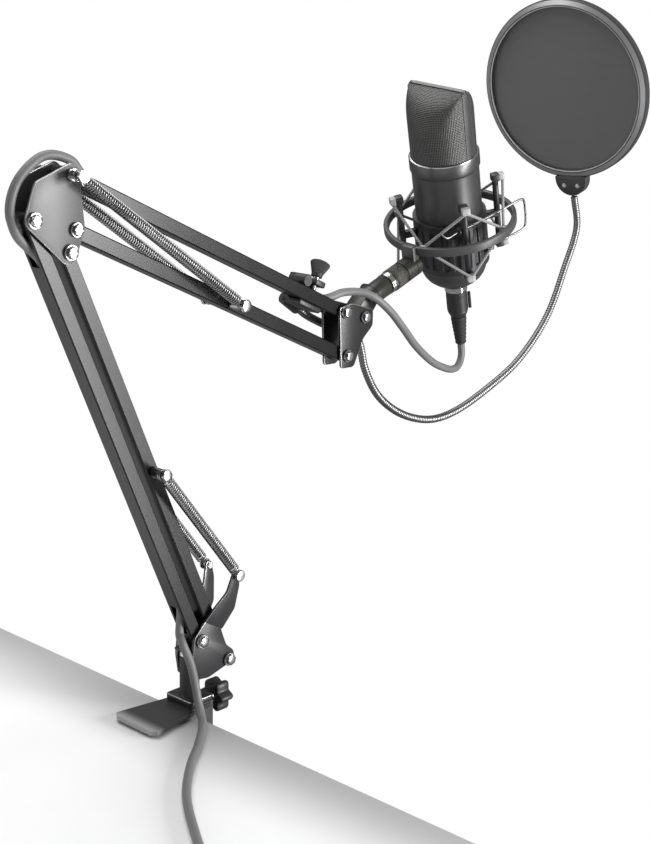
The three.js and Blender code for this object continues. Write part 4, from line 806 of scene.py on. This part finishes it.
# Down the basket each row has a height, how deep its slots are there and how far its rim draws in.
stave_turn = np.linspace(0, 2 * np.pi, 480, endpoint=False)
stave_z, slot_share, draw_in = np.array([
    [-34, 0, 0.25], [-33.7, 0, 0], [-29.6, 0, 0], [-29.0, 0.3, 0], [-28.2, 1, 0], [-20, 1, 0],
    [-10, 1, 0], [2.2, 1, 0], [3.0, 0.3, 0], [3.6, 0, 0], [8.7, 0, 0], [9, 0, 0.25],
]).T[:, :, None]
basket_r, staves, slot_deep = 28.7, 20, 1.9
groove = np.clip(0.5 - 1.6 * np.cos(staves * stave_turn), 0, 1)
stave_r = basket_r - draw_in - slot_deep * slot_share * groove
stave_rows = in_mount(np.stack([
    stave_r * np.cos(stave_turn), stave_r * np.sin(stave_turn), stave_z + 0 * stave_turn
], -1).reshape(-1, 3)).reshape(*stave_r.shape, 3)
basket_skins = [(stave_rows, "tube", 0)]
cap_skins = []
post_r, post_end = 39, 28.5
post_profile = [[-post_end, 2.2], [0.3 - post_end, 2.4], [post_end - 0.3, 2.4], [post_end, 2.2]]
for a in post_angles:
    post_at = in_mount([post_r * np.cos(a), post_r * np.sin(a), 0])
    basket_skins.append((spoke_box(a, 27.5, post_r, 2.5, -5, 1), "tube", 0))
    basket_skins.append((turned(post_at, mic_up, post_profile, 24), "tube", 0))
    for z in (-post_end, post_end):
        basket_skins.append((spoke_box(a, 36, 42.2, 3.5, z - 3, z + 3), "tube", 0))
        cap_skins.append((spoke_box(a, 41.6, 46.2, 3.1, z - 2.7, z + 2.7, 0.4), "tube", 0))
clip_at = np.array([[-25.9, -26.9, 8.9], [-18.9, -28.1, 8.7], [8, -32.7, -17], [1, -31.4, -17]])
for first, last in (in_mount(clip_at[:2]), in_mount(clip_at[2:])):
    reach = np.linalg.norm(last - first)
    barrel = [[0, 3.1], [0.4, 3.5], [reach - 0.4, 3.5], [reach, 3.1]]
    basket_skins.append((turned(first, last - first, barrel, 28), "tube", 0))
basket = make("ribbed_basket", basket_skins, [black_plastic], "basket")
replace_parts(basket, "mic_basket")
make("basket_post_caps", cap_skins, [pale_cap], "basket")
hook_skins = [(spoke_box(a, 45.2, 49, 2.6, -2.9, 2.9), "tube", 0) for a in hook_angles]
make("ring_hooks", hook_skins, [pale_cap], "mount")

# The elastic's woven cover: light and dark squares on the strand's own map, raised as they alternate.
elastic = bpy.data.materials.new("woven_elastic")
elastic.use_nodes = True
e_nodes, e_links = elastic.node_tree.nodes, elastic.node_tree.links
e_shader = e_nodes["Principled BSDF"]
e_shader.inputs["Roughness"].default_value = 0.8
e_uv = e_nodes.new("ShaderNodeUVMap")
e_uv.uv_map = "lie"
e_map = e_nodes.new("ShaderNodeMapping")
e_map.inputs["Scale"].default_value = (6.0, 0.9, 1.0)
e_check = e_nodes.new("ShaderNodeTexChecker")
e_check.inputs["Scale"].default_value = 1.0
e_check.inputs["Color1"].default_value = (0.36, 0.36, 0.37, 1)
e_check.inputs["Color2"].default_value = (0.2, 0.2, 0.21, 1)
e_bump = e_nodes.new("ShaderNodeBump")
e_bump.inputs["Strength"].default_value = 0.5
e_bump.inputs["Distance"].default_value = 0.0003
e_links.new(e_uv.outputs["UV"], e_map.inputs["Vector"])
e_links.new(e_map.outputs["Vector"], e_check.inputs["Vector"])
e_links.new(e_check.outputs["Color"], e_shader.inputs["Base Color"])
e_links.new(e_check.outputs["Fac"], e_bump.inputs["Height"])
e_links.new(e_bump.outputs["Normal"], e_shader.inputs["Normal"])
elastic_r = 1.15
for count, a in enumerate(hook_angles):
    anchor = np.array([45.8 * np.cos(a), 45.8 * np.sin(a), 0])
    for w in (-1, 1):
        post = a + w * np.pi / 4
        for t in (-1, 1):
            tip = np.array([45.3 * np.cos(post), 45.3 * np.sin(post), t * 27.5])
            line = in_mount(np.linspace(anchor + [0, 0, t * 0.6], tip, 14))
            strand = make(f"elastic_strand_{count}_{'ab'[w > 0]}{'ab'[t > 0]}",
                          [(rings_along(line, elastic_r, 10), "tube", 0)], [elastic], None)
            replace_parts(strand, "elastic_cords")
            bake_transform(strand)
clip_points = np.array([
    [-40, -21.5, 13.8], [-37, -25, 9.2], *clip_at[:2], [18, -34.2, 7.8], [43.4, -39.2, 7.8],
    [45, -39.4, 4.8], [44.6, -39.4, -15], [42.5, -39, -17], *clip_at[2:],
])
clip_wire = finish("clip_wire", (0.22, 0.22, 0.225), 0.3, 1.0, grain=1500, depth=0.1)
clip_rows = rings_along(in_mount(smooth_line(clip_points, 1.0)), 0.9, 12)
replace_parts(make("basket_wire_clip", [(clip_rows, "tube", 0)], [clip_wire], "basket"), "basket_clip")

# The microphone: a turned aluminium body in satin black with a collar and a thin bright rim, a
# round tapering foot and a nickel socket. Over the capsule sits a head of woven black wire whose
# roof slopes both ways from a ridge, with a smooth strip up each side and along the ridge.
mic_satin = finish("mic_satin_black", (0.11, 0.11, 0.11), 0.36, 0.8, grain=2600, depth=0.12, drift=0.06)
rim_bright = finish("turned_rim", (0.5, 0.5, 0.5), 0.22, 1.0, grain=1200, depth=0.08)
body_profile = np.array([
    [-54, 13.0], [-53.6, 13.4], [-50, 18.6], [-46.8, 22.0], [-43.5, 24.2], [-40.4, 25.5], [-37, 26.0],
    [-36, 26.0], [-12.6, 26.0], [-12.3, 25.7], [-11.9, 25.7], [-11.6, 26.0], [46.6, 26.0], [47.0, 26.1],
    [48.2, 26.9], [48.7, 27.1], [58.2, 27.1], [58.8, 26.9], [59.0, 26.5], [59.0, 24.2]])
body_kind = np.zeros(len(body_profile), int)
body_kind[-4:-1] = 1
mic_body = make("mic_turned_body", [(turned(mic_at, mic_up, body_profile, 96), "tube", body_kind)],
                [mic_satin, rim_bright], "microphone", 0.5)
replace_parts(mic_body, "mic_body")
socket_rows = turned(mic_at, mic_up, [
    [-61, 7.9], [-61, 8.8], [-60.6, 9.2], [-55, 9.2], [-54.6, 9.6], [-51, 9.6]], 48)
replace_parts(make("mic_socket", [(socket_rows, "tube", 0)], [chrome], "microphone"), "xlr_socket")


def woven(name, light, dark, thread, rough=0.42, metal=0.6):
    """Two sets of threads a `thread` of a millimetre apart, crossing in the millimetre map "lie":
    brightness and bump follow |sin| of each way."""
    made = bpy.data.materials.new(name)
    made.use_nodes = True
    nodes, links = made.node_tree.nodes, made.node_tree.links
    shader = nodes["Principled BSDF"]
    shader.inputs["Metallic"].default_value = metal
    shader.inputs["Roughness"].default_value = rough
    lie = nodes.new("ShaderNodeUVMap")
    lie.uv_map = "lie"
    apart = nodes.new("ShaderNodeSeparateXYZ")
    links.new(lie.outputs["UV"], apart.inputs["Vector"])
    waves = []
    for way in "XY":
        turn = nodes.new("ShaderNodeMath")
        turn.operation = "MULTIPLY"
        turn.inputs[1].default_value = np.pi / thread
        wave = nodes.new("ShaderNodeMath")
        wave.operation = "SINE"
        size = nodes.new("ShaderNodeMath")
        size.operation = "ABSOLUTE"
        links.new(apart.outputs[way], turn.inputs[0])
        links.new(turn.outputs[0], wave.inputs[0])
        links.new(wave.outputs[0], size.inputs[0])
        waves.append(size)
    both = nodes.new("ShaderNodeMath")
    both.operation = "MULTIPLY"
    links.new(waves[0].outputs[0], both.inputs[0])
    links.new(waves[1].outputs[0], both.inputs[1])
    hole = nodes.new("ShaderNodeMapRange")
    hole.inputs["From Min"].default_value = 0.35
    hole.inputs["From Max"].default_value = 0.65
    links.new(both.outputs[0], hole.inputs["Value"])
    tint = nodes.new("ShaderNodeMix")
    tint.data_type = "RGBA"
    tint.inputs[6].default_value = (*light, 1)
    tint.inputs[7].default_value = (*dark, 1)
    links.new(hole.outputs["Result"], tint.inputs[0])
    links.new(tint.outputs[2], shader.inputs["Base Color"])
    bump = nodes.new("ShaderNodeBump")
    bump.invert = True
    bump.inputs["Strength"].default_value = 0.6
    bump.inputs["Distance"].default_value = 0.0003
    links.new(both.outputs[0], bump.inputs["Height"])
    links.new(bump.outputs["Normal"], shader.inputs["Normal"])
    return made


# The head's wall: each point of a circle rises straight to a knee, bends in by a parabola towards a
# roof that falls from the ridge at a fixed slope, and runs up that roof to the crest.
woven_wire = woven("woven_wire", (0.125, 0.125, 0.122), (0.003, 0.003, 0.003), 1.3)
grille_r, grille_low, ridge, slope = 25.4, 59.2, 113.0, np.tan(np.radians(26))
wall_turn = np.linspace(0, 2 * np.pi, 129)
wall_x = grille_r * np.cos(wall_turn)
knee = ridge - np.abs(wall_x) * slope - 2.0
share = np.linspace(0, 1, 12)[:, None]
bend_low, bend_in = np.minimum(20.0, 0.8 * np.abs(wall_x)), 0.62
straight = np.stack([wall_x + 0 * share, grille_low + (knee - bend_low - grille_low) * share], -1)
low_end, corner, high_end = np.array([[wall_x, knee - bend_low], [wall_x, knee + 1.5], [
    wall_x * (1 - bend_in), ridge - np.abs(wall_x) * (1 - bend_in) * slope - 0.3]]).transpose(0, 2, 1)
t = share[1:, :, None]
bent = low_end * (1 - t) ** 2 + corner * 2 * t * (1 - t) + high_end * t**2
crest = np.column_stack([0 * wall_x, ridge + 0 * wall_x - 0.4])
last_part = high_end * (1 - t) + crest * t
head_rows = np.concatenate([straight, bent, last_part])
run_up = np.concatenate([[0 * wall_x], np.cumsum(np.linalg.norm(np.diff(head_rows, axis=0), axis=2), axis=0)])
head_y = grille_r * np.sin(wall_turn) + 0 * run_up
head_wall = in_mount(np.stack([head_rows[..., 0], head_y, head_rows[..., 1]], -1).reshape(-1, 3))
head_lie = np.stack([grille_r * wall_turn + 0 * run_up, run_up], -1)
grille_skins = [(head_wall.reshape(*head_y.shape, 3), "sheet", 0, head_lie)]
strap_turn = np.radians(np.linspace(-9.5, 9.5, 9))
for side in (-1, 1):
    here = np.pi / 2 * side + strap_turn
    roof = ridge - (grille_r + 0.3) * np.abs(np.cos(here)) * slope - 0.5
    strap = []
    for z in (grille_low, 62.0, ridge - 3.0, ridge - 0.8):
        top = np.minimum(z, roof)[:, None]
        outer = np.hstack([arc(0, grille_r + 0.35, here), top])
        inner = np.hstack([arc(0, grille_r - 0.7, here), top])[::-1]
        strap.append(in_mount(np.vstack([outer, inner])))
    grille_skins.append((np.array(strap), "tube", 1))
strip_x = np.array([-2.1, -1.9, 0, 1.9, 2.1])
strip_drop = np.abs(strip_x) * slope + [0.1, 0, 0.1, 0, 0.1]
ridge_rows = []
for far in np.linspace(-grille_r - 0.2, grille_r + 0.2, 33):
    lift = 0.35 - 0.9 * max(0.0, (abs(far) - grille_r + 2.2) / 2.4) ** 2
    strip = np.column_stack([strip_x, far + 0 * strip_x, ridge + lift - strip_drop])
    ridge_rows.append(in_mount(np.vstack([strip, [0, far, ridge - 3.0]])))
grille_skins.append((np.array(ridge_rows), "tube", 1))
grille = make("woven_head", grille_skins, [woven_wire, mic_satin], "microphone")
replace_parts(grille, "mic_grille")
dress("mic_capsule", finish("capsule_brass", (0.6, 0.46, 0.2), 0.3, 1.0, grain=1500))
dress("mic_board", finish("circuit_green", (0.02, 0.1, 0.045), 0.45, grain=1200, depth=0.2))

# The pop filter: a thin plastic hoop with a bevelled face and an inner lip holds a fine nylon
# mesh. A half-round foot with two screws joins it to a flexible metal neck.
filter_at = np.array([473, 16, 418.8])
face = np.array([-0.9702, -0.0951, -0.2225])
face = face / np.linalg.norm(face)
rise = np.array([-0.225, 0.0166, 0.9742])
rise = rise - face * (rise @ face)
rise = rise / np.linalg.norm(rise)
filter_turn = np.column_stack([np.cross(rise, face), rise, face])
in_filter = lambda points: filter_at + np.asarray(points, float) @ filter_turn.T
hoop_plastic = finish("hoop_black", (0.04, 0.04, 0.041), 0.32, grain=2000, depth=0.12, drift=0.06)
# Painted highlight: the bevel is a bright grey metal and the lip a pale grey, standing in for the light
# glinting along the black plastic hoop.
hoop_bevel_highlight = finish("hoop_bevel_highlight", (0.42, 0.42, 0.425), 0.32, 0.8, grain=2000, depth=0.12, drift=0.06)
hoop_lip_highlight = finish("hoop_lip_highlight", (0.5, 0.5, 0.505), 0.3, grain=2000, depth=0.1)
hoop_section = np.array([
    [70.6, -1.2], [70.8, -0.4], [71.3, -0.1], [71.8, -0.1], [72.1, -0.4], [76.2, -2.0], [77.0, -2.8],
    [77.0, -8.4], [76.4, -9.6], [75.4, -10.0], [71.3, -10.0], [70.6, -9.4], [70.5, -6.4], [73.0, -6.3],
    [73.0, -3.7], [70.5, -3.6]])
hoop_turn = np.linspace(0, 2 * np.pi, 192, endpoint=False)
hoop_rows = round_ring(hoop_section, hoop_turn, in_filter)
foot_round = arc([0, -78], 15, np.linspace(np.pi, 2 * np.pi, 33))
foot_edge = np.vstack([[15, -76], [11, -75.6], [-11, -75.6], [-15, -76], foot_round])
foot_lay = lambda x, y, z: in_filter(np.column_stack([x, y, z]))
hoop_parts = [
    (rounded_bar(foot_edge, -9.5, -0.5, foot_lay, 0.8), "tube", 0),
    (turned(in_filter([0, -91, -5]), -rise, [[0, 5.4], [1.2, 5.4], [1.6, 5.0]], 32), "tube", 0),
]
screw_head = [[0, 2.3], [0.5, 2.3], [0.8, 1.9], [0.85, 1.0]]
for across in (-6.5, 6.5):
    hoop_parts.append((turned(in_filter([across, -84, -0.7]), face, screw_head, 24), "tube", 1))
bevel = [[72.3, -0.42], [76.0, -1.87], [76.0, -2.2], [72.3, -1.2]]
lip = [[70.55, -0.9], [70.7, -0.3], [71.2, 0.0], [71.6, -0.3], [71.4, -0.8]]
hoop = make("filter_ring", [
    (hoop_rows, "loop", 0), (round_ring(bevel, hoop_turn, in_filter), "loop", 2),
    (round_ring(lip, hoop_turn, in_filter), "loop", 3), *hoop_parts,
], [hoop_plastic, zinc, hoop_bevel_highlight, hoop_lip_highlight], "filter")
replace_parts(hoop, "filter_hoop")
mesh_rings = np.array([0.01, 10, 20, 30, 40, 50, 60, 68, 73])[:, None]
disc_turn = np.linspace(0, 2 * np.pi, 97)
nylon = woven("nylon_mesh", (0.2, 0.2, 0.2), (0.115, 0.115, 0.115), 0.9, rough=0.75, metal=0.0)
disc_skins = []
for side in (-1, 1):
    disc = np.stack([mesh_rings * np.cos(disc_turn), mesh_rings * np.sin(disc_turn),
                     0 * mesh_rings * disc_turn - 5 + 0.35 * side], -1)[:, ::side]
    disc_skins.append((in_filter(disc.reshape(-1, 3)).reshape(disc.shape), "sheet", 0, disc[..., :2]))
cloth = make("filter_cloth", disc_skins, [nylon], "filter")
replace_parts(cloth, "filter_mesh")

# The filter's clamp: a black plastic C that slips over the upper bar, tightened by a wing screw,
# with a turned ferrule that carries the neck. The neck is a wire wound close over a steel core.
neck_steel = finish("neck_satin_steel", (0.2, 0.2, 0.205), 0.32, 0.9, grain=1500, depth=0.1, drift=0.1)
clamp_x = (head_top - elbow_top) / np.linalg.norm(head_top - elbow_top)
clamp_z = np.array([-clamp_x[2], 0, clamp_x[0]])
clamp_at = head_top - clamp_x * 31
clamp_turn = np.column_stack([clamp_x, [0, 1.0, 0], clamp_z])
in_clamp = lambda points: clamp_at + np.asarray(points, float) @ clamp_turn.T


def clamp_block(x0, x1, y0, y1, z0, z1, radius=1.2, edge=0.6):
    """A rounded block from x0 to x1 along the bar; its outline is the rectangle y0..y1 by z0..z1."""
    lay = lambda x, y, z: in_clamp(np.column_stack([z, x, y]))
    return rounded_bar(round_corners([[y0, z0], [y1, z0], [y1, z1], [y0, z1]], radius, 4), x0, x1, lay, edge)


boss_at = in_clamp([-11, 0, 9.55])
ferrule_at = in_clamp([-6, 18.8, -4])
ferrule_dir = in_clamp([11, 18.8, -7]) - ferrule_at
holder = make("filter_bar_clamp", [
    (clamp_block(-15, 8, 6.8, 11.8, -9.15, 13.15), "tube", 0),
    (clamp_block(-15, 8, -6.5, 11.8, -9.15, -5.15), "tube", 0),
    (clamp_block(-5, 5, -6.5, 11.8, 8.75, 13.15), "tube", 0),
    (turned(boss_at, [0, 1, 0], [[-4, 4.0], [-3.6, 4.4], [11.4, 4.4], [11.8, 4.0]], 32), "tube", 0),
    (clamp_block(-6, 6, 10.8, 17.8, -8, 0), "tube", 0),
    (turned(ferrule_at, ferrule_dir, [
        [0, 4.7], [0.5, 5.2], [12.6, 5.2], [13.0, 4.8], [13.6, 4.8], [14.0, 5.2],
        [16.9, 5.2], [17.3, 4.6]], 36), "tube", 0),
], [black_plastic], "upper_top")
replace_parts(holder, "filter_clamp")
wing_dir = in_clamp([0, 0, 1]) - clamp_at
wing_turn = np.radians(-35)
wing_lay = lambda x, y, z: in_clamp(np.column_stack([
    x * np.cos(wing_turn) - z * np.sin(wing_turn), x * np.sin(wing_turn) + z * np.cos(wing_turn), y]))
wing_edge = round_corners([
    [-8, 26.15], [-3, 15.15], [3, 15.15], [8, 26.15], [3, 28.15], [-3, 28.15]], 2.4, 4)
wing = make("filter_clamp_wing_screw", [
    (rounded_bar(wing_edge, -2, 2, wing_lay, 0.8), "tube", 0),
    (turned(clamp_at, wing_dir, [[5.2, 2.1], [5.8, 2.5], [16.5, 2.5]], 20), "tube", 1),
    (turned(clamp_at, wing_dir, [[15.2, 3.8], [15.6, 4.2], [18.4, 4.2], [19.2, 3.6]], 28), "tube", 0),
], [black_rubber, zinc], "wing")
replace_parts(wing, "filter_clamp_wing")
neck_points = np.array([
    *in_clamp([[11.4, 18.8, -7.07], [22, 18.8, -8.98]]),
    [hx + 16, 19, hz - 17], [hx + 36, 19, hz - 22], [hx + 48, 18.8, hz - 33], [hx + 54.5, 18, hz - 54],
    [239.5, 17, 192], [256.7, 16, 177], [282.3, 16, 164.4], [312.3, 16, 157.5], [342.9, 16, 159.5],
    [387.8, 16, 172.6], [429.9, 16, 191], [469.2, 16, 224.1], [491.7, 16, 263.3],
    *in_filter([[0, -123, -5], [0, -95.2, -5]]),
])
neck_step, wind_pitch = 0.55, 2.2
neck_line = smooth_line(neck_points, neck_step)
neck_r = 3.0 + 0.2 * np.cos(2 * np.pi * np.arange(len(neck_line)) * neck_step / wind_pitch)
ball_r, ball = 2.5, np.radians(np.linspace(-85, 85, 13))
ball_rows = turned(in_filter([0, -93, -5]), rise, ball_r * np.column_stack([np.sin(ball), np.cos(ball)]), 20)
neck = make("wound_neck", [(rings_along(neck_line, neck_r, 16), "tube", 0), (ball_rows, "tube", 0)],
            [neck_steel], "neck", 1.2)
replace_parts(neck, "gooseneck")
